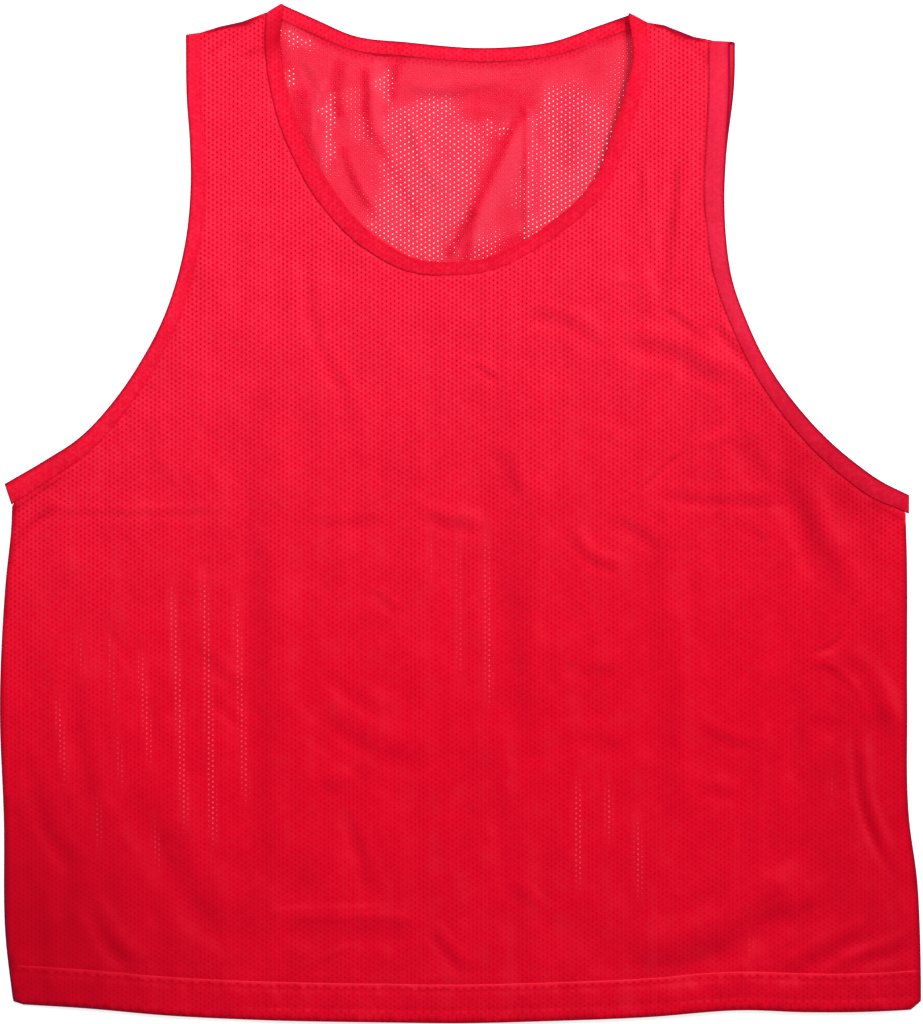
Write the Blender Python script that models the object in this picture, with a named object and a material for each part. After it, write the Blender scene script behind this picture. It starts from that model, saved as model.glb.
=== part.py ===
"""A sleeveless mesh training vest laid flat, front up: front, back and three bindings.

X runs across the vest from its centre line, Y from hem to shoulder and Z up from the
surface that the vest lies on. All sizes are in metres. The tables give places by their
distance from the centre line and their height above the lowest point of the hem.
"""

import math

import bmesh
import bpy
import numpy as np
from mathutils import Vector
from mathutils.geometry import delaunay_2d_cdt

# Sizes of the whole vest
LENGTH = 0.669  # from the lowest point of the hem to the top of the left shoulder

# Thickness of the cloth, and the gap that parts the pieces at a seam
CLOTH = 0.0012
GAP = 0.0003
HEM_DEPTH = 0.023
HEM_EXTRA = 0.0004  # what the turned-up layer adds to the thickness
HEM_STEP = 0.002  # width of the slope from the hem up to the single cloth

# The bindings are doubled strips, thicker than the panels
BINDING = 0.0016
NECK_WIDTH = 0.0105
ARM_WIDTH = 0.0100

# Heights: the back lies on the surface, and the front lies on the back
FRONT_REST = CLOTH + GAP
FRONT_ON_BINDING = BINDING + GAP
LIFT_REACH = 0.012  # how far a binding or a hem keeps the front lifted
FOLD_FADE = 0.018  # folds die away this near to a seam
SHOULDER_FADE = 0.030

# Spacing of the points that the panels are made of
EDGE_STEP = 0.012
GRID_STEP = 0.024
BACK_GRID_STEP = 0.060
FOLD_STEP = 0.012
LEAST_GAP = 0.0045

# Hem edge of both panels, from left to right
HEM = (
    # from_centre, height
    (-0.2885, 0.0124),
    (-0.2460, 0.0098),
    (-0.1940, 0.0052),
    (-0.1280, 0.0020),
    (-0.0500, 0.0005),
    (0.0000, 0.0000),
    (0.0550, 0.0013),
    (0.1210, 0.0039),
    (0.1860, 0.0085),
    (0.2260, 0.0072),
    (0.2780, 0.0079),
    (0.2970, 0.0090),
)

# Side edges, from the hem up to the underarm
RIGHT_SIDE = (
    # from_centre, height
    (0.3016, 0.0151),
    (0.3010, 0.0540),
    (0.2990, 0.0937),
    (0.2938, 0.1330),
    (0.2925, 0.2120),
    (0.2920, 0.3160),
    (0.2912, 0.3310),
)
LEFT_SIDE = (
    # from_centre, height
    (-0.2931, 0.0151),
    (-0.2977, 0.0544),
    (-0.2990, 0.1330),
    (-0.3016, 0.2116),
    (-0.3003, 0.2509),
    (-0.2977, 0.2902),
    (-0.2940, 0.3270),
    (-0.2936, 0.3380),
)

# Free edges of the armhole bindings, from the underarm up to the shoulder
RIGHT_ARMHOLE = (
    # from_centre, height
    (0.2930, 0.3480),
    (0.2741, 0.3557),
    (0.2558, 0.3688),
    (0.2407, 0.3819),
    (0.2171, 0.4081),
    (0.1994, 0.4343),
    (0.1870, 0.4605),
    (0.1778, 0.4867),
    (0.1739, 0.5129),
    (0.1727, 0.5400),
    (0.1745, 0.5784),
    (0.1760, 0.6046),
    (0.1763, 0.6415),
)
LEFT_ARMHOLE = (
    # from_centre, height
    (-0.2964, 0.3545),
    (-0.2715, 0.3688),
    (-0.2512, 0.3819),
    (-0.2263, 0.4081),
    (-0.2086, 0.4343),
    (-0.1949, 0.4605),
    (-0.1857, 0.4867),
    (-0.1798, 0.5129),
    (-0.1765, 0.5522),
    (-0.1772, 0.5784),
    (-0.1791, 0.6046),
    (-0.1798, 0.6460),
)
BACK_PEEK = 0.0035  # how far the back's right armhole stands out past the front's
BACK_PEEK_FROM = 0.560
BACK_PEEK_TO = 0.630

# Free edges of the neck, from the right shoulder to the left
FRONT_NECK = (
    # from_centre, height
    (0.1097, 0.6600),
    (0.1130, 0.6321),
    (0.1085, 0.6120),
    (0.1005, 0.5869),
    (0.0861, 0.5502),
    (0.0612, 0.5260),
    (0.0409, 0.5122),
    (0.0128, 0.5000),
    (-0.0095, 0.4985),
    (-0.0259, 0.4998),
    (-0.0560, 0.5155),
    (-0.0855, 0.5489),
    (-0.0986, 0.5718),
    (-0.1117, 0.6046),
    (-0.1182, 0.6406),
    (-0.1163, 0.6670),
)
BACK_NECK = (
    # from_centre, height
    (0.1097, 0.6600),
    (0.0881, 0.6524),
    (0.0619, 0.6432),
    (0.0226, 0.6388),
    (-0.0364, 0.6426),
    (-0.0691, 0.6465),
    (-0.0953, 0.6576),
    (-0.1163, 0.6670),
)

# Directions of the lines where the bindings fold over, in degrees up from +X
LEFT_NECK_FOLD = 31.0
RIGHT_NECK_FOLD = -25.0
LEFT_ARM_FOLD = 9.0
RIGHT_ARM_FOLD = -3.0
UNDERARM_CUT = 90.0

# Folds of the front. A row is a soft ridge, or a trough where its rise is negative,
# along a bowed line. Bow is to the left of the way from start to end.
FRONT_FOLDS = (
    # start_x, start_height, end_x, end_height, bow, reach, rise
    (0.0400, 0.4580, 0.1900, 0.4120, -0.004, 0.017, 0.0022),
    (-0.1100, 0.5440, -0.0600, 0.3860, 0.006, 0.014, 0.0016),
    (0.0170, 0.4000, 0.0210, 0.1900, 0.000, 0.012, 0.0013),
    (0.0460, 0.4300, 0.0500, 0.2500, 0.002, 0.012, 0.0013),
    (-0.1440, 0.4300, -0.1440, 0.1300, 0.000, 0.011, 0.0010),
    (0.1480, 0.3400, 0.1450, 0.1200, 0.003, 0.013, 0.0012),
    (-0.2600, 0.3400, -0.1360, 0.3400, 0.000, 0.010, 0.0011),
    (-0.1250, 0.3390, -0.0250, 0.3430, 0.004, 0.010, 0.0013),
    (0.1250, 0.3430, 0.2180, 0.3400, 0.000, 0.011, 0.0014),
    (0.0420, 0.1960, 0.1360, 0.2080, -0.006, 0.013, 0.0019),
    (-0.1280, 0.2350, 0.0250, 0.1830, -0.020, 0.013, 0.0016),
    (0.2190, 0.2300, 0.2760, 0.1180, 0.016, 0.014, 0.0030),
    (0.2200, 0.2250, 0.1960, 0.0900, 0.006, 0.015, 0.0014),
    (0.2720, 0.1350, 0.1080, 0.0520, 0.008, 0.019, 0.0028),
    (0.2930, 0.0750, 0.2200, 0.0420, 0.003, 0.013, 0.0018),
    (-0.2450, 0.2100, -0.1250, 0.0640, -0.014, 0.017, 0.0022),
    (-0.1250, 0.0660, -0.0200, 0.0650, 0.000, 0.010, 0.0022),
    (-0.2640, 0.2450, -0.1980, 0.0550, -0.020, 0.015, 0.0016),
    (-0.2820, 0.2200, -0.2450, 0.0900, -0.010, 0.013, 0.0014),
    (0.2050, 0.3650, 0.2600, 0.2750, 0.010, 0.016, 0.0022),
    (0.1180, 0.3480, 0.2040, 0.3580, 0.026, 0.013, 0.0015),
    (0.2720, 0.2830, 0.2270, 0.2420, 0.004, 0.011, 0.0016),
    (0.1390, 0.5950, 0.1310, 0.4650, -0.007, 0.012, 0.0014),
    (0.1210, 0.5600, 0.1080, 0.4850, -0.003, 0.010, 0.0010),
    (0.1560, 0.4520, 0.1920, 0.4050, 0.002, 0.010, 0.0014),
    (-0.2400, 0.3700, -0.2000, 0.3950, 0.006, 0.014, 0.0012),
    (-0.0250, 0.3300, 0.0140, 0.3180, 0.000, 0.010, 0.0012),
)

# Folds of the back that show through the neck opening
BACK_FOLDS = (
    # start_x, start_height, end_x, end_height, bow, reach, rise
    (-0.0040, 0.5180, 0.0470, 0.6060, 0.003, 0.010, 0.0022),
    (-0.0880, 0.6150, -0.0850, 0.5560, 0.007, 0.008, 0.0018),
    (-0.0560, 0.6320, -0.0560, 0.5750, -0.003, 0.008, 0.0018),
    (0.0420, 0.6020, 0.0430, 0.5350, 0.000, 0.007, 0.0014),
)
FOLD_OFFSETS = (-1.0, -0.45, 0.0, 0.45, 1.0)  # points across a fold, in reaches
FOLD_ENDS = 0.35  # share of a fold's length over which it rises from the cloth

# A binding turns over a shoulder in this many steps of its half circle
TURN_STEPS = 4
BINDING_STEP = 0.009
LEAST_RUNG = 0.0018

# How finely curves are worked out, and how the panels are made into triangles
CURVE_POINTS = 16
FINE_STEP = 0.004
INSIDE_ONLY = 1  # the kind of triangulation that keeps to the outline
SAME_PLACE = 1e-7
SHARP_ANGLE = 40.0

FABRICS = {
    # name: colour, roughness
    "red_mesh_knit": ((0.80, 0.016, 0.040, 1.0), 0.75),
    "red_binding_knit": ((0.74, 0.014, 0.038, 1.0), 0.70),
}


def ease(share):
    """A share from 0 to 1, eased at both ends."""
    share = np.clip(share, 0.0, 1.0)
    return share * share * (3.0 - 2.0 * share)


def lengths_along(line):
    """The distance of each point from the line's start, measured along the line."""
    pieces = np.linalg.norm(np.diff(line, axis=0), axis=1)
    return np.concatenate(([0.0], np.cumsum(pieces)))


def spaced(line, count):
    """The same line with a given number of points, evenly spaced."""
    along = lengths_along(line)
    wanted = np.linspace(0.0, along[-1], count)
    return np.column_stack([np.interp(wanted, along, line[:, axis]) for axis in (0, 1)])


def smooth_line(rows, step):
    """Evenly spaced points on a smooth curve through a table's places."""
    places = np.array(rows, float)
    along = lengths_along(places)
    slopes = np.diff(places, axis=0) / np.diff(along)[:, None]
    near = np.diff(along)
    middle = slopes[:-1] * near[1:, None] + slopes[1:] * near[:-1, None]
    middle /= (near[1:] + near[:-1])[:, None]
    heads = np.vstack((slopes[:1], middle, slopes[-1:]))
    fine = []
    for index, length in enumerate(near):
        t = np.linspace(0.0, 1.0, CURVE_POINTS, endpoint=False)[:, None]
        fine.append(
            (2 * t**3 - 3 * t**2 + 1) * places[index]
            + (t**3 - 2 * t**2 + t) * length * heads[index]
            + (3 * t**2 - 2 * t**3) * places[index + 1]
            + (t**3 - t**2) * length * heads[index + 1]
        )
    line = np.vstack(fine + [places[-1:]])
    return spaced(line, max(2, round(lengths_along(line)[-1] / step) + 1))


def beside(line, distance):
    """The line moved to its own left by a distance."""
    ahead = np.gradient(line, axis=0)
    ahead /= np.linalg.norm(ahead, axis=1)[:, None]
    return line + distance * np.column_stack((-ahead[:, 1], ahead[:, 0]))


def cross(a, b):
    return a[0] * b[1] - a[1] * b[0]


def ended_on(line, place, direction):
    """The line cut or drawn out at its end, to end on a cut through a place."""
    sides = [cross(direction, point - place) for point in line]
    kept = [point for point, side in zip(line, sides) if side * sides[0] > 0]
    before, last = kept[-2], kept[-1]
    if len(kept) < len(line):
        before, last = kept[-1], line[len(kept)]
    heading = last - before
    share = cross(direction, place - before) / cross(direction, heading)
    meeting = before + share * heading
    if np.linalg.norm(meeting - kept[-1]) < LEAST_RUNG:
        kept.pop()
    return np.array(kept + [meeting])


def heading_of(degrees):
    return np.array((math.cos(math.radians(degrees)), math.sin(math.radians(degrees))))


def strip_edges(free, width, start_cut, end_cut):
    """Both edges of a strip whose cloth lies to the left of its free edge.

    Each cut is the direction, in degrees, of the line that ends the strip there.
    """
    sewn = beside(free, width)
    sewn = ended_on(sewn, free[-1], heading_of(end_cut))
    sewn = ended_on(sewn[::-1], free[0], heading_of(start_cut))[::-1]
    count = max(3, round(lengths_along(free)[-1] / BINDING_STEP) + 1)
    return spaced(free, count), spaced(sewn, count)


def with_peek(line):
    """The back's right armhole, which stands out past the front's near the shoulder."""
    share = ease((line[:, 1] - BACK_PEEK_FROM) / (BACK_PEEK_TO - BACK_PEEK_FROM))
    return line + np.column_stack((BACK_PEEK * share, np.zeros(len(line))))


RIGHT_ARM_LINE = smooth_line(RIGHT_ARMHOLE, FINE_STEP)
LEFT_ARM_LINE = smooth_line(LEFT_ARMHOLE, FINE_STEP)[::-1]
RIGHT_ARM_BACK_LINE = with_peek(RIGHT_ARM_LINE)
FRONT_NECK_LINE = smooth_line(FRONT_NECK, FINE_STEP)
BACK_NECK_LINE = smooth_line(BACK_NECK, FINE_STEP)

# Both edges of each strip, with the cloth on the left of its free edge
STRIPS = {
    "right_arm_front": strip_edges(
        RIGHT_ARM_LINE, ARM_WIDTH, UNDERARM_CUT, RIGHT_ARM_FOLD
    ),
    "right_arm_back": strip_edges(
        RIGHT_ARM_BACK_LINE, ARM_WIDTH, UNDERARM_CUT, RIGHT_ARM_FOLD
    ),
    "left_arm": strip_edges(LEFT_ARM_LINE, ARM_WIDTH, LEFT_ARM_FOLD, UNDERARM_CUT),
    "front_neck": strip_edges(
        FRONT_NECK_LINE, NECK_WIDTH, RIGHT_NECK_FOLD, LEFT_NECK_FOLD
    ),
    "back_neck": strip_edges(
        BACK_NECK_LINE, NECK_WIDTH, RIGHT_NECK_FOLD, LEFT_NECK_FOLD
    ),
}


def panel_outline(right_arm, neck):
    """The closed outline of a panel, anticlockwise, a gap inside its bindings."""
    edges = [
        smooth_line(HEM, EDGE_STEP),
        smooth_line(RIGHT_SIDE, EDGE_STEP),
        beside(STRIPS[right_arm][1], GAP),
        beside(STRIPS[neck][1], GAP),
        beside(STRIPS["left_arm"][1], GAP),
        smooth_line(LEFT_SIDE, EDGE_STEP)[::-1],
    ]
    return np.vstack(edges)


def distance_to(line, places):
    """The distance of each place from the nearest stretch of a line."""
    starts, ends = line[:-1], line[1:]
    runs = ends - starts
    squares = (runs**2).sum(axis=1)
    nearest = np.full(len(places), np.inf)
    for start, run, square in zip(starts, runs, squares):
        share = np.clip(((places - start) @ run) / square, 0.0, 1.0)
        gaps = places - start - share[:, None] * run
        nearest = np.minimum(nearest, np.linalg.norm(gaps, axis=1))
    return nearest


def inside(outline, places):
    """Which places lie inside a closed outline."""
    found = np.zeros(len(places), bool)
    for a, b in zip(outline, np.roll(outline, -1, axis=0)):
        if a[1] == b[1]:
            continue
        crosses = (a[1] > places[:, 1]) != (b[1] > places[:, 1])
        at = a[0] + (places[:, 1] - a[1]) * (b[0] - a[0]) / (b[1] - a[1])
        found ^= crosses & (places[:, 0] < at)
    return found


def fold_axes(row):
    start, end = np.array(row[0:2]), np.array(row[2:4])
    ahead = end - start
    length = np.linalg.norm(ahead)
    ahead /= length
    return start, ahead, np.array((-ahead[1], ahead[0])), length


def folds_at(table, places):
    """How far the folds of a table raise the cloth at each place."""
    total = np.zeros(len(places))
    for row in table:
        start, ahead, left, length = fold_axes(row)
        bow, reach, rise = row[4:7]
        share = (places - start) @ ahead / length
        middle = bow * 4.0 * share * (1.0 - share)
        across = ((places - start) @ left - middle) / reach
        crest = np.clip(1.0 - across**2, 0.0, 1.0) ** 2
        total += rise * crest * ease(np.minimum(share, 1.0 - share) / FOLD_ENDS)
    return total


def fold_places(table):
    """Places along and across each fold, for the panel's points."""
    places = []
    for row in table:
        start, ahead, left, length = fold_axes(row)
        bow, reach = row[4:6]
        count = max(3, round(length / FOLD_STEP))
        for across in FOLD_OFFSETS:
            for share in np.linspace(0.0, 1.0, count):
                middle = bow * 4.0 * share * (1.0 - share)
                places.append(start + ahead * share * length + left * (middle + across * reach))
    return np.array(places)


FRONT_OUTLINE = panel_outline("right_arm_front", "front_neck")
BACK_OUTLINE = panel_outline("right_arm_back", "back_neck")
SIDE_SEAMS = (smooth_line(RIGHT_SIDE, EDGE_STEP), smooth_line(LEFT_SIDE, EDGE_STEP))
BOUND_EDGES = ("right_arm_front", "left_arm", "front_neck")
SHOULDERS = (
    np.array((STRIPS["right_arm_front"][0][-1], STRIPS["front_neck"][0][0])),
    np.array((STRIPS["left_arm"][0][0], STRIPS["front_neck"][0][-1])),
)
HEM_LINE = smooth_line(HEM, EDGE_STEP)


def hem_share(places):
    """1 on the turned-up hem, 0 above it, with a slope between."""
    edge = np.interp(places[:, 0], HEM_LINE[:, 0], HEM_LINE[:, 1])
    return 1.0 - ease((places[:, 1] - edge - HEM_DEPTH + HEM_STEP) / HEM_STEP)


def fold_lift(places):
    """How far folds raise the front, which its side and shoulder seams hold down."""
    held = ease(np.minimum.reduce([distance_to(s, places) for s in SIDE_SEAMS]) / FOLD_FADE)
    held *= ease(np.minimum.reduce([distance_to(s, places) for s in SHOULDERS]) / SHOULDER_FADE)
    return held * folds_at(FRONT_FOLDS, places)


def front_level(places):
    """Height of the front's underside."""
    near_binding = np.zeros(len(places))
    for name in BOUND_EDGES:
        away = distance_to(STRIPS[name][1], places)
        near_binding = np.maximum(near_binding, 1.0 - ease(away / LIFT_REACH))
    edge = np.interp(places[:, 0], HEM_LINE[:, 0], HEM_LINE[:, 1])
    near_hem = 1.0 - ease((places[:, 1] - edge - HEM_DEPTH) / LIFT_REACH)
    lift = (FRONT_ON_BINDING - FRONT_REST) * np.maximum(near_binding, near_hem)
    return FRONT_REST + lift + fold_lift(places)


def back_level(places):
    """Height of the back's underside: on the surface, but for folds inside the neck."""
    opening = STRIPS["front_neck"][0]
    clear = ease(distance_to(opening, places) / FOLD_FADE) * inside(opening, places)
    return clear * folds_at(BACK_FOLDS, places)


def thickness(places):
    return CLOTH + HEM_EXTRA * hem_share(places)


def apart(places, kept):
    """The places that keep the least gap to those already kept, and to each other."""
    cells = {}

    def cell_of(place):
        return (int(place[0] // LEAST_GAP), int(place[1] // LEAST_GAP))

    for place in kept:
        cells.setdefault(cell_of(place), []).append(place)
    chosen = []
    for place in places:
        column, row = cell_of(place)
        around = [
            other
            for i in (-1, 0, 1)
            for j in (-1, 0, 1)
            for other in cells.get((column + i, row + j), [])
        ]
        if all(math.dist(place, other) >= LEAST_GAP for other in around):
            cells.setdefault((column, row), []).append(place)
            chosen.append(place)
    return chosen


def panel_places(outline, table, grid_step):
    """The panel's points inside its outline: along its folds, its hem, and on a grid."""
    hem_rows = []
    for above in (HEM_DEPTH - HEM_STEP, HEM_DEPTH, HEM_DEPTH + LIFT_REACH):
        hem_rows.append(HEM_LINE + np.array((0.0, above)))
    low, high = outline.min(axis=0), outline.max(axis=0)
    columns = np.arange(low[0], high[0], grid_step)
    rows = np.arange(low[1], high[1], grid_step)
    grid = np.array([(x, y) for y in rows for x in columns])
    places = np.vstack(hem_rows + [fold_places(table), grid])
    places = places[inside(outline, places)]
    places = places[distance_to(np.vstack((outline, outline[:1])), places) > LEAST_GAP]
    return apart(places, [tuple(p) for p in outline])


def fabric(name):
    material = bpy.data.materials.new(name)
    material.use_nodes = True
    shader = material.node_tree.nodes["Principled BSDF"]
    colour, roughness = FABRICS[name]
    shader.inputs["Base Color"].default_value = colour
    shader.inputs["Roughness"].default_value = roughness
    shader.inputs["Metallic"].default_value = 0.0
    return material


def place_object(name, points, faces, material):
    """A new object from points whose Y is measured from the hem."""
    mesh = bpy.data.meshes.new(name)
    mesh.from_pydata([(x, y - LENGTH / 2, z) for x, y, z in points], [], faces)
    shape = bmesh.new()
    shape.from_mesh(mesh)
    bmesh.ops.recalc_face_normals(shape, faces=shape.faces)
    shape.to_mesh(mesh)
    shape.free()
    mesh.materials.append(material)
    mesh.shade_smooth()
    mesh.set_sharp_from_angle(angle=math.radians(SHARP_ANGLE))
    piece = bpy.data.objects.new(name, mesh)
    bpy.context.scene.collection.objects.link(piece)
    return piece


def make_panel(name, outline, table, grid_step, level, material):
    """A panel: a wall between its underside and the same points moved up."""
    within = panel_places(outline, table, grid_step)
    flat = [Vector(p) for p in outline] + [Vector(p) for p in within]
    border = list(range(len(outline)))
    flat, _, triangles, *_ = delaunay_2d_cdt(flat, [], [border], INSIDE_ONLY, SAME_PLACE)
    places = np.array([tuple(p) for p in flat])
    under = level(places)
    over = under + thickness(places)
    count = len(places)
    points = [(*p, z) for p, z in zip(places, under)]
    points += [(*p, z) for p, z in zip(places, over)]
    faces = [tuple(reversed(t)) for t in triangles]
    faces += [tuple(i + count for i in t) for t in triangles]
    edges = {(t[i], t[(i + 1) % 3]) for t in triangles for i in range(3)}
    rim = [(a, b) for a, b in edges if (b, a) not in edges]
    faces += [(a, b, b + count, a + count) for a, b in rim]
    return place_object(name, points, faces, material)


def rungs_on_top(strip):
    """Rungs of a strip that lies on the front: free and sewn edge, outer and inner side."""
    free, sewn = strip
    free_low, sewn_low = (FRONT_ON_BINDING + fold_lift(edge) for edge in strip)
    return [
        ((*f, low_f + BINDING), (*s, low_s + BINDING), (*s, low_s), (*f, low_f))
        for f, s, low_f, low_s in zip(free, sewn, free_low, sewn_low)
    ]


def rungs_below(strip):
    """Rungs of a strip that lies on the surface, with its outer side down."""
    return [
        ((*f, 0.0), (*s, 0.0), (*s, BINDING), (*f, BINDING)) for f, s in zip(*strip)
    ]


def rungs_over(top, below):
    """Rungs of the half circle by which a strip turns from the front to the back."""
    middle = (FRONT_ON_BINDING + BINDING) / 2
    outer = FRONT_ON_BINDING + BINDING - middle
    inner = FRONT_ON_BINDING - middle
    starts = [np.array(corner[:2]) for corner in top[:2]]
    ends = [np.array(corner[:2]) for corner in below[:2]]
    along = starts[1] - starts[0]
    out = np.array((-along[1], along[0])) / np.linalg.norm(along)
    if out[1] < 0:
        out = -out
    rungs = []
    for step in range(1, TURN_STEPS):
        share = step / TURN_STEPS
        angle = math.pi * share
        free, sewn = (s + (e - s) * share for s, e in zip(starts, ends))
        rung = []
        for place, radius in ((free, outer), (sewn, outer), (sewn, inner), (free, inner)):
            across = place + out * radius * math.sin(angle)
            rung.append((*across, middle + radius * math.cos(angle)))
        rungs.append(tuple(rung))
    return rungs


def make_binding(name, rungs, closed, material):
    """A strip made of rungs of four corners, joined in order."""
    points = [corner for rung in rungs for corner in rung]
    faces = []
    last = len(rungs) if closed else len(rungs) - 1
    for index in range(last):
        here, there = 4 * index, 4 * ((index + 1) % len(rungs))
        for side in range(4):
            after = (side + 1) % 4
            faces.append((here + side, there + side, there + after, here + after))
    if not closed:
        end = 4 * (len(rungs) - 1)
        faces.append((0, 1, 2, 3))
        faces.append((end + 3, end + 2, end + 1, end))
    return place_object(name, points, faces, material)


def make_arm_binding(name, front, back, material):
    """A binding from the underarm over the shoulder and down the back."""
    top, below = rungs_on_top(front), rungs_below(back)
    rungs = top + rungs_over(top[-1], below[-1]) + below[::-1]
    return make_binding(name, rungs, False, material)


def make_neck_binding(material):
    """The neck's ring: the front, the left shoulder, the back and the right shoulder."""
    top, below = rungs_on_top(STRIPS["front_neck"]), rungs_below(STRIPS["back_neck"])
    left_turn = rungs_over(top[-1], below[-1])
    right_turn = rungs_over(top[0], below[0])[::-1]
    rungs = top + left_turn + below[::-1] + right_turn
    return make_binding("neck_binding", rungs, True, material)


def turned_back(strip):
    """The same strip, from its other end."""
    return tuple(edge[::-1] for edge in strip)


def main():
    for old in list(bpy.data.objects):
        bpy.data.objects.remove(old, do_unlink=True)
    mesh_knit, binding_knit = fabric("red_mesh_knit"), fabric("red_binding_knit")
    make_panel(
        "front_panel", FRONT_OUTLINE, FRONT_FOLDS, GRID_STEP, front_level, mesh_knit
    )
    make_panel(
        "back_panel", BACK_OUTLINE, BACK_FOLDS, BACK_GRID_STEP, back_level, mesh_knit
    )
    make_neck_binding(binding_knit)
    make_arm_binding(
        "armhole_binding_right",
        STRIPS["right_arm_front"],
        STRIPS["right_arm_back"],
        binding_knit,
    )
    left = turned_back(STRIPS["left_arm"])
    make_arm_binding("armhole_binding_left", left, left, binding_knit)


main()
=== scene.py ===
"""The looks of a sleeveless mesh training vest that lies flat with its front up.

X runs across the vest from its centre line, Y from hem to shoulder and Z up from the
floor. All sizes are in metres. The tables give places by their distance from the centre
line and their height above the lowest point of the hem, as the part's source does.
"""

import math

import bpy
import numpy as np
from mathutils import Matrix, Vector
from mathutils.geometry import delaunay_2d_cdt

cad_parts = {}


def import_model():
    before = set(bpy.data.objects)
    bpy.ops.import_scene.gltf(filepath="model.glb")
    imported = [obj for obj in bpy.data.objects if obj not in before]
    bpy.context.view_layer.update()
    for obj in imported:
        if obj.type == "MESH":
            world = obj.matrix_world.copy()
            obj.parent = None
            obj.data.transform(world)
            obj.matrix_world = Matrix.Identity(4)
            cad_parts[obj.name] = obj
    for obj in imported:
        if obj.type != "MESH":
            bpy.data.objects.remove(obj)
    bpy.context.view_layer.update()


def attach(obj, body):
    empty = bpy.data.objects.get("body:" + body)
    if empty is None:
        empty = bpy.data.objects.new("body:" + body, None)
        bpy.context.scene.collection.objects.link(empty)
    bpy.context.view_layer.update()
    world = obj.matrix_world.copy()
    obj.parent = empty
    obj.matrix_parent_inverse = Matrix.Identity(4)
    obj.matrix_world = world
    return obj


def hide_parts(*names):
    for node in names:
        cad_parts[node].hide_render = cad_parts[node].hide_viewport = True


# Sizes of the whole vest, as in the part's source
LENGTH = 0.669
HEM_DEPTH = 0.023
BINDING = 0.0016
NECK_WIDTH = 0.0105  # of the back's binding
GAP = 0.0003
FRONT_ON_BINDING = BINDING + GAP
FOLD_FADE = 0.008
SHOULDER_FADE = 0.010

# Heights of the thin cloth: inside the back's and the front's solid, and their seam
BACK_REST = 0.0007
LEAST_BACK = 0.0003
LEAST_BLEND = 0.0002  # how softly cloth comes to rest on its least height
FRONT_REST = 0.0022
SEAM_LEVEL = 0.0014
RIM = 0.0010  # radius of the rolled edge of a panel
HEM_RISE = 0.0004
HEM_OVER = 0.0030  # how far the hem reaches up over the body's lower edge
HEM_UNDER = 0.0030  # how far the body reaches down under the hem
BACK_HEM_LEVEL = 0.0002
TUCK = 0.0015  # how far a panel reaches under its bindings
TUCK_DEPTH = 0.0005  # how far it sinks there
TUCK_NEAR = 0.010  # how near to a binding's seam a place must be for that
HEM_GROOVE = 0.00028
GROOVE_REACH = 0.0015
PUCKER_REACH = 0.009  # how far from a seam the cloth is puckered
NECK_FADE = 0.004  # how soon the back's folds begin inside the neck opening
HEM_STITCH_INSET = 0.0015  # how far the hem's stitches run below its seam
HEM_SWELL = 0.00011  # a soft ridge above the hem's seam
HEM_SWELL_RISE = 0.0065
HEM_SWELL_REACH = 0.0026
INNER_LINE = 0.0092  # how high the hem's inner fold lies above its edge
INNER_LINE_FROM = -0.151
INNER_LINE_START = 0.02  # the way over which it comes in
INNER_LINE_DEPTH = 0.0003
INNER_LINE_REACH = 0.0009

# Air under the front, which lets folds sink as well as rise
AIR = 0.0012
AIR_REACH = 0.045

# Hem edge of both panels, from left to right
HEM = (
    # from_centre, height
    (-0.2885, 0.0124),
    (-0.2460, 0.0098),
    (-0.1940, 0.0052),
    (-0.1280, 0.0020),
    (-0.0500, 0.0005),
    (0.0000, 0.0000),
    (0.0550, 0.0013),
    (0.1210, 0.0039),
    (0.1860, 0.0085),
    (0.2260, 0.0072),
    (0.2780, 0.0079),
    (0.2970, 0.0090),
)

# Side edges, from the hem up to the underarm
RIGHT_SIDE = (
    # from_centre, height
    (0.3016, 0.0151),
    (0.3010, 0.0540),
    (0.2990, 0.0937),
    (0.2938, 0.1330),
    (0.2925, 0.2120),
    (0.2920, 0.3160),
    (0.2914, 0.3335),
)
LEFT_SIDE = (
    # from_centre, height
    (-0.2931, 0.0151),
    (-0.2977, 0.0544),
    (-0.2990, 0.1330),
    (-0.3016, 0.2116),
    (-0.3003, 0.2509),
    (-0.2977, 0.2902),
    (-0.2940, 0.3270),
    (-0.2936, 0.3380),
)

# Free edges of the armhole bindings, from the underarm up to the shoulder
RIGHT_ARMHOLE = (
    # from_centre, height
    (0.2936, 0.3458),
    (0.2760, 0.3545),
    (0.2558, 0.3688),
    (0.2407, 0.3819),
    (0.2171, 0.4081),
    (0.1994, 0.4343),
    (0.1870, 0.4605),
    (0.1778, 0.4867),
    (0.1739, 0.5129),
    (0.1727, 0.5400),
    (0.1745, 0.5784),
    (0.1760, 0.6046),
    (0.1763, 0.6415),
)
LEFT_ARMHOLE = (
    # from_centre, height
    (-0.2983, 0.3531),
    (-0.2715, 0.3688),
    (-0.2512, 0.3819),
    (-0.2263, 0.4081),
    (-0.2086, 0.4343),
    (-0.1949, 0.4605),
    (-0.1857, 0.4867),
    (-0.1798, 0.5129),
    (-0.1765, 0.5522),
    (-0.1772, 0.5784),
    (-0.1791, 0.6046),
    (-0.1798, 0.6460),
)
RIGHT_ARM_WIDTHS = (
    # height, width of the front's right binding
    (0.345, 0.0112),
    (0.355, 0.0128),
    (0.368, 0.0124),
    (0.390, 0.0116),
    (0.440, 0.0106),
    (0.480, 0.0110),
    (0.515, 0.0122),
    (0.545, 0.0138),
    (0.600, 0.0142),
    (0.645, 0.0142),
)
LEFT_ARM_WIDTHS = (
    # height, width of the left binding
    (0.350, 0.0140),
    (0.368, 0.0125),
    (0.395, 0.0108),
    (0.440, 0.0100),
    (0.645, 0.0096),
)

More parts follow.
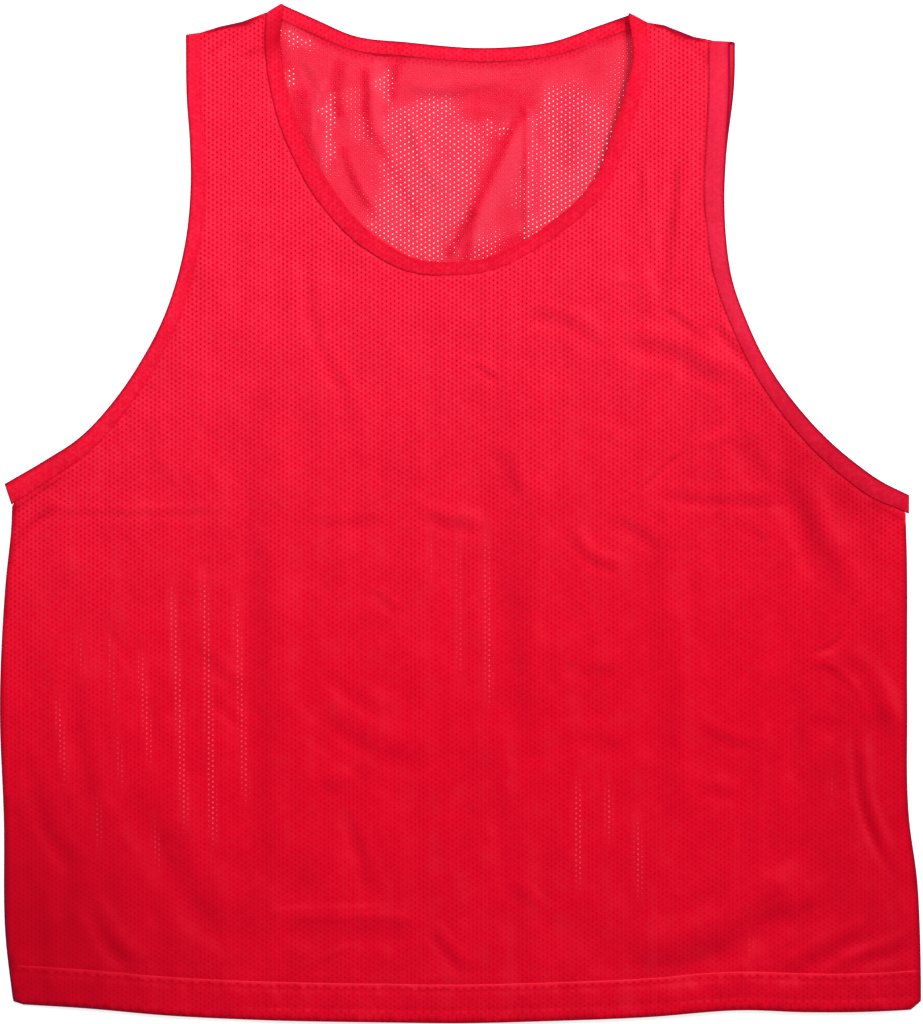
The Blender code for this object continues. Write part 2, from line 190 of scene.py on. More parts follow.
# How far the back's right armhole stands out past the front's, from one height to another
BACK_PEEK = 0.0035
BACK_PEEK_FROM = 0.560
BACK_PEEK_TO = 0.630

# Free edges of the neck, from the right shoulder to the left
FRONT_NECK = (
    # from_centre, height
    (0.1097, 0.6600),
    (0.1130, 0.6321),
    (0.1085, 0.6120),
    (0.1005, 0.5869),
    (0.0861, 0.5502),
    (0.0612, 0.5260),
    (0.0409, 0.5122),
    (0.0128, 0.5000),
    (-0.0095, 0.4985),
    (-0.0259, 0.4998),
    (-0.0560, 0.5155),
    (-0.0855, 0.5489),
    (-0.0986, 0.5718),
    (-0.1117, 0.6046),
    (-0.1182, 0.6406),
    (-0.1163, 0.6670),
)
BACK_NECK = (
    # from_centre, height
    (0.1097, 0.6600),
    (0.0881, 0.6524),
    (0.0619, 0.6432),
    (0.0226, 0.6388),
    (-0.0364, 0.6426),
    (-0.0691, 0.6465),
    (-0.0953, 0.6576),
    (-0.1163, 0.6670),
)

# The front's neck binding is wider or narrower than its usual width along the way
FRONT_NECK_WIDTHS = (
    # share of the way from the right shoulder, width
    (0.00, 0.0105),
    (0.30, 0.0105),
    (0.50, 0.0090),
    (0.60, 0.0108),
    (0.72, 0.0130),
    (0.82, 0.0120),
    (0.92, 0.0100),
    (1.00, 0.0105),
)

# Fold lines of the shoulders, from the armhole binding to the neck binding and back
RIGHT_SHOULDER = (
    # from_centre, height
    (0.1523, 0.6450),
    (0.1326, 0.6527),
)
LEFT_SHOULDER = (
    # from_centre, height
    (-0.1425, 0.6549),
    (-0.1575, 0.6516),
)

# Directions of the lines where the bindings fold over, in degrees up from +X
LEFT_NECK_FOLD = 31.0
RIGHT_NECK_FOLD = -25.0
LEFT_ARM_FOLD = 9.0
RIGHT_ARM_FOLD = -3.0
RIGHT_UNDERARM_CUT = 90.0
LEFT_UNDERARM_CUT = 108.0

# The knit's holes stand in columns, and each column stands lower than the one on its left
COLUMN_STEP = 0.00270
ROW_STEP = 0.00344  # at the hem, and a little less higher up
ROW_SHRINK = 1.0e-6  # how much shorter each row's step is than the last one's
FRONT_DROP = 0.456  # in rows
BACK_DROP = 0.579
SPARE_ROWS = 4  # beyond a panel's ends, for holes that are moved into it
FRONT_HOLE = (0.00058, 0.00076)  # width and height of a usual hole
BACK_HOLE = (0.00097, 0.00118)
FRONT_MARGIN = 0.0011  # cloth left between a hole and the panel's edge
BACK_MARGIN = 0.0033
FRONT_HOLE_SIZES = (
    # height, size against the usual one
    (0.00, 0.44),
    (0.25, 0.52),
    (0.40, 0.76),
    (0.52, 0.95),
    (0.66, 1.03),
)
DOT_PLACES = (
    # from_centre, height, reach, how much larger the front's holes are
    (-0.270, 0.330, 0.090, 0.28),
    (0.260, 0.360, 0.070, 0.28),
    (0.285, 0.220, 0.060, 0.16),
)
HOLE_WANDER = 0.00005
HOLE_UNEVEN = 0.07

# Creases of the front, placed by pixels of the photograph, across from its left edge and
# down from its top. Each goes to the right or downwards. Its ridge is a soft fold along
# the line, or a trough where it is negative. Its step is higher on the left of the way
# than on the right, or the other way about where it is negative. Reaches are in pixels.
CREASES = (
    # left_reach, right_reach, ridge, step, places (across, down)
    # left chest and underarm
    (20, 20, 0.0, 0.00044,
     ((300, 190), (306, 240), (311, 290), (322, 345), (345, 391), (354, 425), (361, 470))),
    (28, 28, 0.0, 0.00029, ((318, 200), (314, 250), (320, 310), (334, 352))),
    (12, 12, 0.0, 0.00024, ((18, 507), (60, 511), (150, 512), (250, 511))),
    (20, 20, 0.0, 0.00025, ((290, 520), (350, 521), (410, 516))),
    (22, 22, 0.0, 0.00052, ((412, 512), (432, 517), (455, 522), (490, 530))),
    (42, 42, 0.0, 0.00080, ((261, 400), (262, 560), (264, 720), (263, 905))),
    (18, 18, 0.0, 0.00021, ((150, 450), (163, 470), (178, 497))),
    (18, 18, 0.0, 0.00023, ((198, 408), (206, 425), (218, 442))),
    (18, 18, 0.0, 0.00023, ((203, 456), (212, 480), (224, 504))),
    (9, 9, 0.0010, 0.00060, ((12, 515), (30, 496), (46, 484), (62, 477))),
    (10, 10, -0.0010, 0.00060, ((14, 556), (35, 523), (55, 508))),
    (14, 14, 0.0, 0.00040, ((372, 586), (385, 600), (402, 614))),
    (12, 12, 0.0, -0.00011, ((146, 390), (147, 450), (148, 520))),
    (12, 12, 0.0, 0.00046, ((473, 360), (484, 370), (500, 380))),
    (24, 24, 0.0, 0.00023, ((190, 566), (215, 560), (242, 558))),
    (9, 9, 0.0, 0.00050, ((212, 53), (230, 41), (250, 27))),
    (8, 8, 0.0, 0.00040, ((238, 60), (252, 52), (264, 43))),
    # right chest
    (24, 24, 0.0, 0.00057, ((518, 309), (557, 317), (580, 326), (597, 341), (616, 351))),
    (30, 32, 0.0, 0.00085,
     ((596, 329), (632, 340), (655, 345), (682, 353), (702, 367), (730, 376), (754, 388))),
    (12, 12, 0.0, 0.00025, ((608, 284), (625, 285), (642, 287))),
    (20, 20, 0.0, 0.00120, ((692, 95), (684, 150), (676, 205), (669, 255), (666, 300), (671, 326))),
    (16, 16, 0.0, 0.00070, ((646, 155), (640, 195), (629, 250))),
    (12, 12, 0.0, 0.00037, ((660, 305), (680, 318), (701, 336))),
    (14, 14, 0.0, 0.00050, ((640, 139), (644, 190), (650, 241), (667, 306))),
    (12, 12, 0.0, 0.00045, ((674, 150), (676, 195), (672, 245))),
    (14, 14, 0.0, 0.00069, ((709, 317), (728, 338), (746, 360), (760, 383))),
    (7, 7, -0.0006, 0.00040, ((632, 497), (650, 480), (668, 463), (692, 446))),
    (18, 18, 0.0, -0.00034, ((690, 446), (712, 434), (740, 428))),
    (32, 32, 0.0, 0.00057, ((733, 424), (750, 450), (765, 475), (782, 494))),
    (34, 38, 0.0, 0.00112, ((782, 466), (795, 490), (808, 520), (820, 546), (840, 584))),
    (36, 36, 0.0, -0.00052, ((824, 478), (843, 520), (858, 560), (870, 610))),
    (24, 16, 0.0, 0.00045, ((648, 491), (690, 498), (740, 500), (798, 501))),
    (18, 18, 0.0, 0.00052, ((566, 520), (575, 540), (590, 557), (614, 566), (630, 566))),
    (22, 22, 0.0, 0.00040, ((604, 514), (630, 525), (655, 542), (674, 551))),
    (18, 18, 0.0, 0.00029, ((728, 520), (750, 528), (773, 543))),
    (24, 24, 0.0, 0.00052, ((494, 436), (510, 470), (527, 504))),
    (24, 24, 0.0, 0.00023, ((564, 424), (600, 435), (627, 451))),
    (62, 62, 0.0, 0.00100, ((512, 440), (517, 600), (519, 740))),
    (12, 12, 0.0, -0.00014, ((539, 320), (540, 480), (541, 700))),
    (36, 36, 0.0, 0.00060, ((668, 520), (667, 650), (670, 760), (671, 875))),
    # leaf on the right
    (8, 8, -0.0009, 0.0, ((866, 583), (851, 610), (838, 640), (828, 649), (803, 652))),
    (30, 10, 0.0012, 0.0, ((800, 664), (829, 663), (847, 677), (862, 697), (870, 722), (878, 742))),
    (18, 14, 0.0, 0.00100, ((856, 704), (858, 740), (860, 776), (867, 812), (878, 841), (895, 876))),
    (28, 28, 0.0, 0.00092, ((834, 650), (858, 668), (872, 690), (884, 716), (895, 745))),
    (14, 14, 0.0, 0.00029, ((809, 663), (803, 700), (799, 745))),
    (24, 24, 0.0, 0.00034, ((806, 714), (825, 720), (844, 730))),
    # lower right
    (56, 44, 0.0, 0.00145,
     ((596, 957), (640, 960), (680, 956), (715, 943), (750, 923), (780, 908), (815, 900), (856, 887))),
    (26, 24, 0.0, 0.00080, ((763, 973), (800, 963), (825, 950), (852, 936), (884, 924))),
    (20, 20, 0.0, 0.00069, ((833, 971), (862, 957), (896, 946), (917, 929))),
    (28, 28, 0.0, 0.00034, ((756, 898), (790, 880), (826, 850))),
    (18, 18, 0.0, -0.00029, ((770, 690), (767, 790), (762, 890))),
    # lower left
    (28, 24, 0.0, 0.00063, ((28, 735), (40, 790), (52, 828), (70, 855), (94, 874))),
    (28, 28, 0.0, 0.00057, ((78, 690), (84, 740), (96, 800), (108, 842))),
    (26, 24, 0.0, 0.00075, ((90, 886), (100, 918), (118, 948), (150, 974))),
    (52, 40, 0.0, 0.00090, ((146, 775), (155, 815), (168, 845), (190, 885), (215, 920), (248, 954))),
    (20, 40, 0.0, 0.00055, ((260, 920), (300, 922), (350, 921), (400, 923), (432, 934))),
    (7, 7, 0.0003, 0.0, ((310, 962), (330, 953), (355, 943))),
    (6, 6, 0.0003, 0.0, ((252, 912), (300, 908), (350, 907), (424, 903))),
    (18, 18, 0.0, 0.00057, ((428, 922), (445, 945), (468, 974))),
    (14, 14, 0.0, -0.00023, ((100, 622), (120, 655), (137, 684))),
    (18, 18, 0.0, 0.00036, ((198, 638), (212, 660), (228, 675), (247, 690))),
    (16, 16, 0.0, 0.00029, ((212, 697), (230, 712), (248, 731))),
    (20, 20, 0.0, 0.00029, ((150, 690), (156, 720), (166, 750))),
    # lower middle
    (34, 34, 0.0, 0.00044, ((288, 664), (320, 700), (345, 728), (375, 747), (415, 753), (458, 750))),
    (24, 24, 0.0, 0.00030, ((320, 658), (345, 685), (372, 704), (412, 713))),
    (20, 20, 0.0, 0.00024, ((300, 722), (340, 752), (384, 781))),
    (20, 20, 0.0, 0.00048, ((344, 788), (352, 820), (365, 860), (379, 908))),
    (24, 24, 0.0, 0.00029, ((316, 782), (334, 783), (354, 786))),
    (20, 20, 0.0, 0.00025, ((440, 780), (441, 840), (442, 892))),
    (18, 18, 0.0, -0.00034, ((491, 755), (493, 820), (495, 890))),
    (28, 28, 0.0, 0.00036,
     ((478, 746), (515, 749), (550, 745), (575, 734), (600, 737), (625, 746), (642, 734), (657, 710))),
    (20, 20, 0.0, 0.00032, ((693, 721), (715, 733), (745, 743), (768, 740))),
    (20, 20, 0.0, 0.00028, ((698, 785), (722, 790), (742, 794))),
    (24, 24, 0.0, 0.00025, ((560, 660), (590, 668), (625, 664))),
    (20, 20, 0.0, 0.00029, ((500, 880), (530, 900), (560, 932))),
)

# Folds of the back that show through the neck opening, placed in the same way
BACK_CREASES = (
    # left_reach, right_reach, ridge, step, places (across, down)
    (34, 12, 0.0013, 0.0, ((530, 100), (510, 138), (490, 180), (468, 224), (448, 262))),
    (16, 12, 0.0011, 0.0, ((330, 74), (319, 110), (315, 142), (324, 184))),
    (20, 11, 0.0010, 0.0, ((371, 62), (372, 90), (373, 126), (382, 160))),
    (14, 8, 0.0008, 0.0, ((527, 112), (527, 170), (526, 236))),
    (16, 13, 0.0010, 0.0, ((352, 54), (346, 90), (343, 136))),
    (14, 14, 0.0, 0.0007, ((343, 150), (352, 180), (372, 214))),
    (22, 20, 0.0, 0.0006, ((392, 88), (430, 94), (470, 92), (516, 84))),
    (10, 10, 0.0, 0.0004, ((300, 58), (312, 78), (318, 98))),
    (12, 8, 0.0012, 0.0, ((404, 100), (420, 150), (440, 200))),
    (10, 10, 0.0008, 0.0, ((575, 96), (574, 150), (566, 214))),
)

# Painted shade in broad flat darker bands of the front, along where it was folded and pressed, and
# along other folds
FRONT_STROKES = (
    # half_width, tone, places (across, down)
    (12.0, -0.060, ((259, 400), (260, 560), (261, 720), (262, 900))),
    (17.0, -0.055, ((492, 380), (504, 450), (512, 560), (518, 640), (520, 730))),
    (12.0, -0.045, ((654, 520), (656, 650), (658, 760), (658, 870))),
    (9.0, -0.050, ((290, 927), (340, 930), (400, 930))),
    (3.6, -0.120, ((14, 548), (24, 530), (38, 515), (54, 506))),
    (3.0, -0.180, ((12, 512), (26, 500), (44, 488), (64, 478))),
    (4.2, -0.240, ((872, 503), (888, 511), (904, 518))),
    (3.0, -0.110, ((858, 752), (861, 782), (867, 812), (878, 841), (893, 872))),
    (9.0, -0.050, ((846, 656), (860, 672), (872, 692), (882, 712))),
    (3.4, -0.150, ((210, 54), (222, 41), (238, 30), (252, 22))),
    (6.0, -0.100, ((244, 52), (254, 53), (264, 54))),
    (5.0, -0.150, ((672, 31), (686, 41), (699, 51), (708, 62))),
    (13.0, -0.080, ((788, 466), (800, 495), (812, 525), (824, 556), (836, 580))),
)

# Painted shade and painted light in darker and lighter strokes along the back's folds inside the neck
# opening
BACK_STROKES = (
    # half_width, tone, places (across, down)
    (4.6, -0.36, ((523, 112), (507, 141), (486, 185), (466, 225), (449, 254))),
    (9.0, 0.26, ((527, 122), (508, 168), (488, 212), (468, 248))),
    (8.0, -0.34, ((301, 96), (304, 124), (309, 158), (320, 192))),
    (2.0, 0.30, ((326, 80), (317, 100), (313, 130), (313, 156), (320, 174))),
    (4.6, -0.38, ((365, 74), (366, 100), (369, 134))),
    (6.0, 0.25, ((379, 64), (377, 98), (379, 130))),
    (11.0, -0.16, ((462, 88), (495, 94), (530, 104))),
    (2.4, -0.38, ((526, 116), (525, 180), (523, 240))),
    (16.0, -0.28, ((572, 96), (571, 124), (569, 156))),
    (12.0, -0.12, ((478, 116), (488, 128), (498, 136))),
    (4.4, -0.27, ((375, 134), (392, 168), (418, 216))),
    (4.4, -0.27, ((344, 150), (354, 182), (374, 216))),
    (5.0, -0.35, ((398, 62), (393, 76), (392, 94))),
    (6.0, -0.30, ((340, 66), (336, 90), (340, 112))),
    (5.0, -0.35, ((474, 214), (470, 236), (466, 258))),
    (6.0, -0.24, ((276, 52), (283, 62), (291, 76))),
    (16.0, 0.10, ((420, 74), (450, 78), (486, 74))),
    (9.0, -0.26, ((470, 250), (498, 250), (522, 240))),
)

# How creases are drawn
FOLD_ENDS = 0.30  # share of a crease's length over which each end fades
STEP_PEAK = 4.8  # what makes the highest point of a step's profile 1
CREASE_STEP = 0.006  # between the points of a crease's line
CREASE_SHARE = 0.82  # how strongly the front's creases stand out
LEAST_RELIEF = -0.0004

# The camera looks straight down, and its frame is the photograph's
METRES_PER_PIXEL = 0.000655
PHOTO_SIZE = (923, 1024)
CENTRE_PIXEL = 460.5
HEM_PIXEL = 1023.0
CAMERA_DISTANCE = 2.6
SENSOR_HEIGHT = 24.0

# Where the back's holes lie open on the floor, inside the neck opening
OPEN_PLACES = (
    # start_x, start_height, end_x, end_height, half_width, share open
    (-0.1150, 0.6521, -0.1035, 0.6431, 0.0060, 1.00),
    (-0.1120, 0.6226, -0.1104, 0.6112, 0.0022, 1.00),
    (-0.0858, 0.6079, -0.0879, 0.5555, 0.0028, 1.00),
    (-0.0724, 0.6046, -0.0642, 0.5817, 0.0060, 0.55),
    (-0.0494, 0.6259, -0.0494, 0.6046, 0.0028, 0.90),
    (-0.0364, 0.5882, -0.0429, 0.5293, 0.0150, 0.95),
    (-0.0167, 0.5915, -0.0233, 0.5129, 0.0150, 1.00),
    (0.0029, 0.5784, -0.0069, 0.5358, 0.0140, 0.95),
    (-0.0560, 0.5260, -0.0200, 0.5064, 0.0085, 1.00),
    (0.0193, 0.5833, 0.0291, 0.5882, 0.0050, 0.90),
    (-0.0036, 0.5145, 0.0160, 0.5129, 0.0100, 0.85),
    (0.0472, 0.5948, 0.0439, 0.5145, 0.0028, 0.95),
    (0.0373, 0.5620, 0.0373, 0.5457, 0.0080, 0.60),
    (0.0684, 0.6046, 0.0652, 0.5326, 0.0180, 1.00),
    (0.0897, 0.6010, 0.0864, 0.5555, 0.0130, 0.95),
    (0.0504, 0.5260, 0.0619, 0.5290, 0.0080, 1.00),
    (0.1045, 0.6374, 0.1012, 0.6112, 0.0060, 0.45),
)
CLOSED_PLACES = (
    # start_x, start_height, end_x, end_height, half_width, share closed
    (0.0380, 0.5905, 0.0233, 0.5495, 0.0052, 1.00),
    (0.0233, 0.5495, 0.0010, 0.5130, 0.0056, 0.95),
)
NECK_MARGIN = 0.003  # how far past the opening's edge a place still counts as in it
SHUT = 0.22  # size of a hole that isn't open, against an open one
OPEN_FADE = 0.015  # the way over which a patch's edge fades
PATCH_FADE = 1.6  # the most that a patch's edge fades over, in half widths

# Upright streaks where the holes of front and back meet and the floor shows
STREAKS = (
    # strength, across and down of the top, across and down of the bottom, in pixels
    (0.55, 58, 702, 66, 777),
    (0.40, 79, 633, 83, 671),
    (0.50, 98, 802, 99, 840),
    (0.40, 109, 633, 116, 713),
    (0.35, 117, 735, 123, 786),
    (0.60, 141, 656, 150, 755),
    (0.45, 155, 826, 159, 863),
    (0.75, 172, 590, 186, 818),
    (0.80, 204, 577, 214, 836),
    (0.60, 236, 602, 246, 795),
    (0.30, 429, 526, 432, 578),
    (0.38, 458, 528, 460, 672),
    (0.55, 486, 530, 489, 698),
    (0.60, 577, 784, 579, 880),
    (0.50, 608, 788, 609, 832),
    (0.50, 637, 822, 639, 890),
    (0.40, 622, 275, 623, 281),
    (0.40, 750, 940, 751, 953),
    (0.40, 831, 777, 832, 793),
)
STREAK_HALF = 0.0023  # half the width of a streak
STREAK_FADE = 0.0046  # the way over which its sides fade
STREAK_ENDS = 0.0300  # the way over which its ends fade
STREAK_HOLE = 0.58  # least size of the front's holes in a streak
STREAK_BLEND = (0.018, 0.06)  # how far a streak moves rows about it, across and upwards
STREAK_LEAN_REACH = 0.1  # how far up and down a streak's lean goes on
LEAST_WEIGHT = 1e-9  # where no streak is near
STREAK_BACK_HOLE = 0.85  # size of the back's holes in a streak, against an open one
HIDDEN_HOLE = 0.55  # their size under the rest of the front
FULL_STREAK = 0.15  # share of a streak at which they have their full size

# Tone: how far the knit's colour goes to pale pink above 0, and to dark red below. Besides random
# bands, it carries painted light and painted shade
EDGE_TONE = 1.0  # painted shade along the vest's outer edges, where the cloth rolls away
EDGE_REACH = 0.0011
BAND_TONE = 0.02
NECK_TONE = 0.22  # painted light of the back inside the neck opening, from the floor's light through the thin cloth
OPEN_TONE = 0.28  # more painted light, added where its holes are open to the floor
BINDING_TONE = 0.05  # painted highlight along the middle of a binding
# Painted shade in the grooves along the bindings' seams: its reach
SEAM_LINE = 0.0007

# Where the neck's seam begins to show and where it shows in full, and its least share
NECK_SEAM = (0.030, -0.030, 0.25)

# How dark the painted shade of each binding is along its sewn and its free edge, and
# how far in the painted shade of its free edge reaches, as a share of its width
BINDING_LOOKS = {
    # seam_tone, free_tone, free_reach
    "right_arm_front": (0.42, 1.00, 0.09),
    "left_arm": (0.03, 1.00, 0.09),
    "front_neck": (0.46, 0.20, 0.42),
    "back_neck": (0.42, 1.00, 0.09),
}
SEAM_GROOVES = {"right_arm_front": 0.00045, "left_arm": 0.00010, "front_neck": 0.00040}

# Broad soft painted shade of the cloth
SHADES = (
    # from_centre, height, reach, tone
    (-0.285, 0.030, 0.110, -0.34),
    (-0.290, 0.110, 0.070, -0.08),
    (0.285, 0.040, 0.070, -0.12),
    (0.285, 0.120, 0.070, -0.07),
    (0.285, 0.200, 0.080, -0.12),
    (0.235, 0.370, 0.060, -0.10),
    (0.232, 0.396, 0.045, -0.10),
    (-0.1245, 0.6420, 0.0085, -0.30),
    (-0.1200, 0.6540, 0.0070, -0.22),
    (0.1095, 0.6555, 0.0050, -0.40),
    (0.1125, 0.6490, 0.0045, -0.34),
    (0.2500, 0.3420, 0.0120, -0.12),
    (0.2700, 0.3320, 0.0100, -0.11),
)

# How far the free edge of the front's neck binding stands up
NECK_RAISE = (
    # share of the way from the right shoulder, raise
    (0.00, 0.0012),
    (0.03, 0.0028),
    (0.10, 0.0030),
    (0.17, 0.0016),
    (0.26, 0.0004),
    (0.34, 0.0000),
    (1.00, 0.0000),
)
BINDING_FLATNESS = 0.50  # the thickness of a binding against its solid's
EVEN_DROP = 0.75  # the share of the sewn edge's drop that the whole width takes part in

# How finely curves and pieces are made
CURVE_POINTS = 16  # from one place of a table to the next
FINE_STEP = 0.004
OUTLINE_STEP = 0.0026
SEAM_STEP = 0.008
RUNG_STEP = 0.0015
LEAST_RUNG = 0.0018  # the shortest last step of a strip's edge
TURN_STEPS = 8
RIM_STEPS = 3
INSIDE_ONLY = 1  # which triangles are wanted, as the triangulation counts it
SAME_PLACE = 1e-7  # points nearer than this are one

# Half thickness of a binding across its width, in shares, from the free to the sewn edge
BINDING_PROFILE = (
    # across, half_thickness
    (0.000, 0.00),
    (0.015, 0.20),
    (0.050, 0.34),
    (0.120, 0.44),
    (0.250, 0.49),
    (0.450, 0.50),
    (0.650, 0.49),
    (0.780, 0.45),
    (0.870, 0.38),
    (0.930, 0.28),
    (0.975, 0.18),
    (1.000, 0.08),
)

# Places across a binding, in shares of its width from the free edge, and its wrinkles
SEAM_SHADE_REACH = 0.06
MIDDLE_AT = 0.34  # where a binding's painted highlight is palest
MIDDLE_REACH = 0.22
SEWN_PART = 0.45  # the part that sinks to the panel
WRINKLE = 0.16
WRINKLE_FREE = 0.4  # the wrinkles' share at the free edge
SWELL = 0.08
BAKE_MARGIN = 1.01  # room at the end of a binding's map

# Stitches
STITCH_RINGS = (
    # place along a stitch, thickness
    (-0.50, 0.35),
    (-0.38, 0.90),
    (0.00, 1.00),
    (0.38, 0.90),
    (0.50, 0.35),
)
STITCH_STEP = 0.0027
STITCH_WANDER = 0.0001  # along the row
STITCH_AHEAD = 0.001  # how far ahead a stitch looks for its direction
STITCH_TURN = 0.06  # how unevenly stitches are turned
STITCH_DIP = 0.0002  # how far its ends sink
STITCH_BAKE_PART = 0.8  # of each stitch's room on the map
STITCH_LENGTH = 0.0017
STITCH_RADIUS = 0.00017
STITCH_SIDES = 6
HEM_ROW_ENDS = 4  # points of the seam that its stitches leave out at each end
HEM_STITCH_SINK = 0.00013
BOUND_STITCH_INSET = 0.0010  # outside a binding's sewn edge, on the panel
BOUND_STITCH_RISE = 0.00045
NECK_STITCH_INSET = 0.0026
NECK_STITCH_SINK = 0.00002

# The way towards the key light. The knit is painted paler on slopes that lean that way and deeper on
# slopes that lean away: painted light and painted shade.
LIGHT_WAY = (0.62, 0.78, 0.0)

SEED = 20
HOLE_SEED = SEED + 6
STITCH_SEED = SEED + 9

# Smooth random unevenness: heights and distances in metres, and shares
WAVE_COUNT = 22
WAVE_SIZES = (0.6, 1.7)  # the least and the most, against a row's size
WAVES = {
    # amount, size of the waves, number added to the seed, stretch along Y
    "front": (0.00022, 0.030, 0, 1.5),
    "front_fine": (0.00006, 0.011, 1, 1.4),
    "seam_pucker": (0.00012, 0.007, 2, 3.0),
    "back_in_neck": (0.00012, 0.020, 3, 1.6),
    "back_hidden": (0.00018, 0.040, 10, 1.6),
    "hole_bands": (0.05, 0.018, 4, 9.0),
    "hole_clouds": (0.06, 0.040, 5, 1.0),
    "patch_edges": (0.0034, 0.014, 12, 1.5),
    "tone_bands": (1.0, 0.012, 11, 8.0),
    "tone_clouds": (1.0, 0.024, 13, 1.0),
    "binding_wrinkles": (1.0, 0.006, 7, 1.0),
    "binding_swells": (1.0, 0.030, 8, 1.0),
}

# The flat map of the whole vest for the bake
MAP_SIZE = (0.62, 0.68)
MAP_FOOT = 0.005


def ease(share):
    """A share from 0 to 1, eased at both ends."""
    share = np.clip(share, 0.0, 1.0)
    return share * share * (3.0 - 2.0 * share)


def fading(away, reach):
    """1 on a line or at a place, and softly less away from it."""
    return np.exp(-((away / reach) ** 2))


def rough(name, places):
    """Smooth random unevenness at each place, as a row of the waves' table says."""
    amount, size, seed, stretch = WAVES[name]
    rng = np.random.default_rng(SEED + seed)
    angles = rng.uniform(0.0, math.pi, WAVE_COUNT)
    turns = 2.0 * math.pi / (size * rng.uniform(*WAVE_SIZES, WAVE_COUNT))
    starts = rng.uniform(0.0, 2.0 * math.pi, WAVE_COUNT)
    total = np.zeros(len(places))
    for angle, turn, start in zip(angles, turns, starts):
        along = places[:, 0] * math.cos(angle)
        along = along + places[:, 1] * math.sin(angle) / stretch
        total += np.sin(along * turn + start)
    return amount * (total / math.sqrt(WAVE_COUNT))


def looked_up(table, values):
    """A table's second column, at these values of its first."""
    first, second = zip(*table)
    return np.interp(values, first, second)


def lengths_along(line):
    """The distance of each point from the line's start, measured along the line."""
    pieces = np.linalg.norm(np.diff(line, axis=0), axis=1)
    return np.concatenate(([0.0], np.cumsum(pieces)))


def point_at(line, along, distance):
    """The point of a line, or the points, this far from its start."""
    return np.column_stack([np.interp(distance, along, axis) for axis in line.T])


def spaced(line, count):
    """The same line with a given number of points, evenly spaced."""
    along = lengths_along(line)
    return point_at(line, along, np.linspace(0.0, along[-1], count))


def stepped(line, step):
    """The same line with points about a step apart."""
    return spaced(line, max(2, round(lengths_along(line)[-1] / step) + 1))


def smooth_line(rows, step):
    """Evenly spaced points on a smooth curve through a table's places."""
    places = np.array(rows, float)
    along = lengths_along(places)
    slopes = np.diff(places, axis=0) / np.diff(along)[:, None]
    near = np.diff(along)
    middle = slopes[:-1] * near[1:, None] + slopes[1:] * near[:-1, None]
    middle /= (near[1:] + near[:-1])[:, None]
    heads = np.vstack((slopes[:1], middle, slopes[-1:]))
    fine = []
    for index, length in enumerate(near):
        t = np.linspace(0.0, 1.0, CURVE_POINTS, endpoint=False)[:, None]
        fine.append(
            (2 * t**3 - 3 * t**2 + 1) * places[index]
            + (t**3 - 2 * t**2 + t) * length * heads[index]
            + (3 * t**2 - 2 * t**3) * places[index + 1]
            + (t**3 - t**2) * length * heads[index + 1]
        )
    return stepped(np.vstack(fine + [places[-1:]]), step)


def beside(line, distance):
    """The line moved to its own left by a distance, the same or one for each point."""
    ahead = np.gradient(line, axis=0)
    ahead /= np.linalg.norm(ahead, axis=1)[:, None]
    left = np.column_stack((-ahead[:, 1], ahead[:, 0]))
    return line + np.broadcast_to(distance, (len(line),))[:, None] * left


def cross(a, b):
    """How far b turns to the left of a, as the area between them."""
    return a[0] * b[1] - a[1] * b[0]


def ended_on(line, place, direction):
    """The line cut or drawn out at its end, to end on a cut through a place."""
    sides = [cross(direction, point - place) for point in line]
    kept = [point for point, side in zip(line, sides) if side * sides[0] > 0]
    before, last = kept[-2], kept[-1]
    if len(kept) < len(line):
        before, last = kept[-1], line[len(kept)]
    heading = last - before
    share = cross(direction, place - before) / cross(direction, heading)
    meeting = before + share * heading
    if np.linalg.norm(meeting - kept[-1]) < LEAST_RUNG:
        kept.pop()
    return np.array(kept + [meeting])


def heading_of(degrees):
    """A direction, from its angle up from +X."""
    return np.array((math.cos(math.radians(degrees)), math.sin(math.radians(degrees))))


def strip_edges(free, width, start_cut, end_cut):
    """Both edges of a strip whose cloth lies to the left of its free edge."""
    sewn = beside(free, width)
    sewn = ended_on(sewn, free[-1], heading_of(end_cut))
    sewn = ended_on(sewn[::-1], free[0], heading_of(start_cut))[::-1]
    count = max(3, round(lengths_along(free)[-1] / RUNG_STEP) + 1)
    return spaced(free, count), spaced(sewn, count)


def with_peek(line):
    """The back's right armhole, which stands out past the front's near the shoulder."""
    share = ease((line[:, 1] - BACK_PEEK_FROM) / (BACK_PEEK_TO - BACK_PEEK_FROM))
    return line + np.column_stack((BACK_PEEK * share, np.zeros(len(line))))


def shares_along(line):
    """The share of the way at which each point of a line lies."""
    along = lengths_along(line)
    return along / along[-1]


RIGHT_ARM_LINE = smooth_line(RIGHT_ARMHOLE, FINE_STEP)
LEFT_ARM_LINE = smooth_line(LEFT_ARMHOLE, FINE_STEP)[::-1]
RIGHT_ARM_BACK_LINE = with_peek(RIGHT_ARM_LINE)
FRONT_NECK_LINE = smooth_line(FRONT_NECK, FINE_STEP)
BACK_NECK_LINE = smooth_line(BACK_NECK, FINE_STEP)

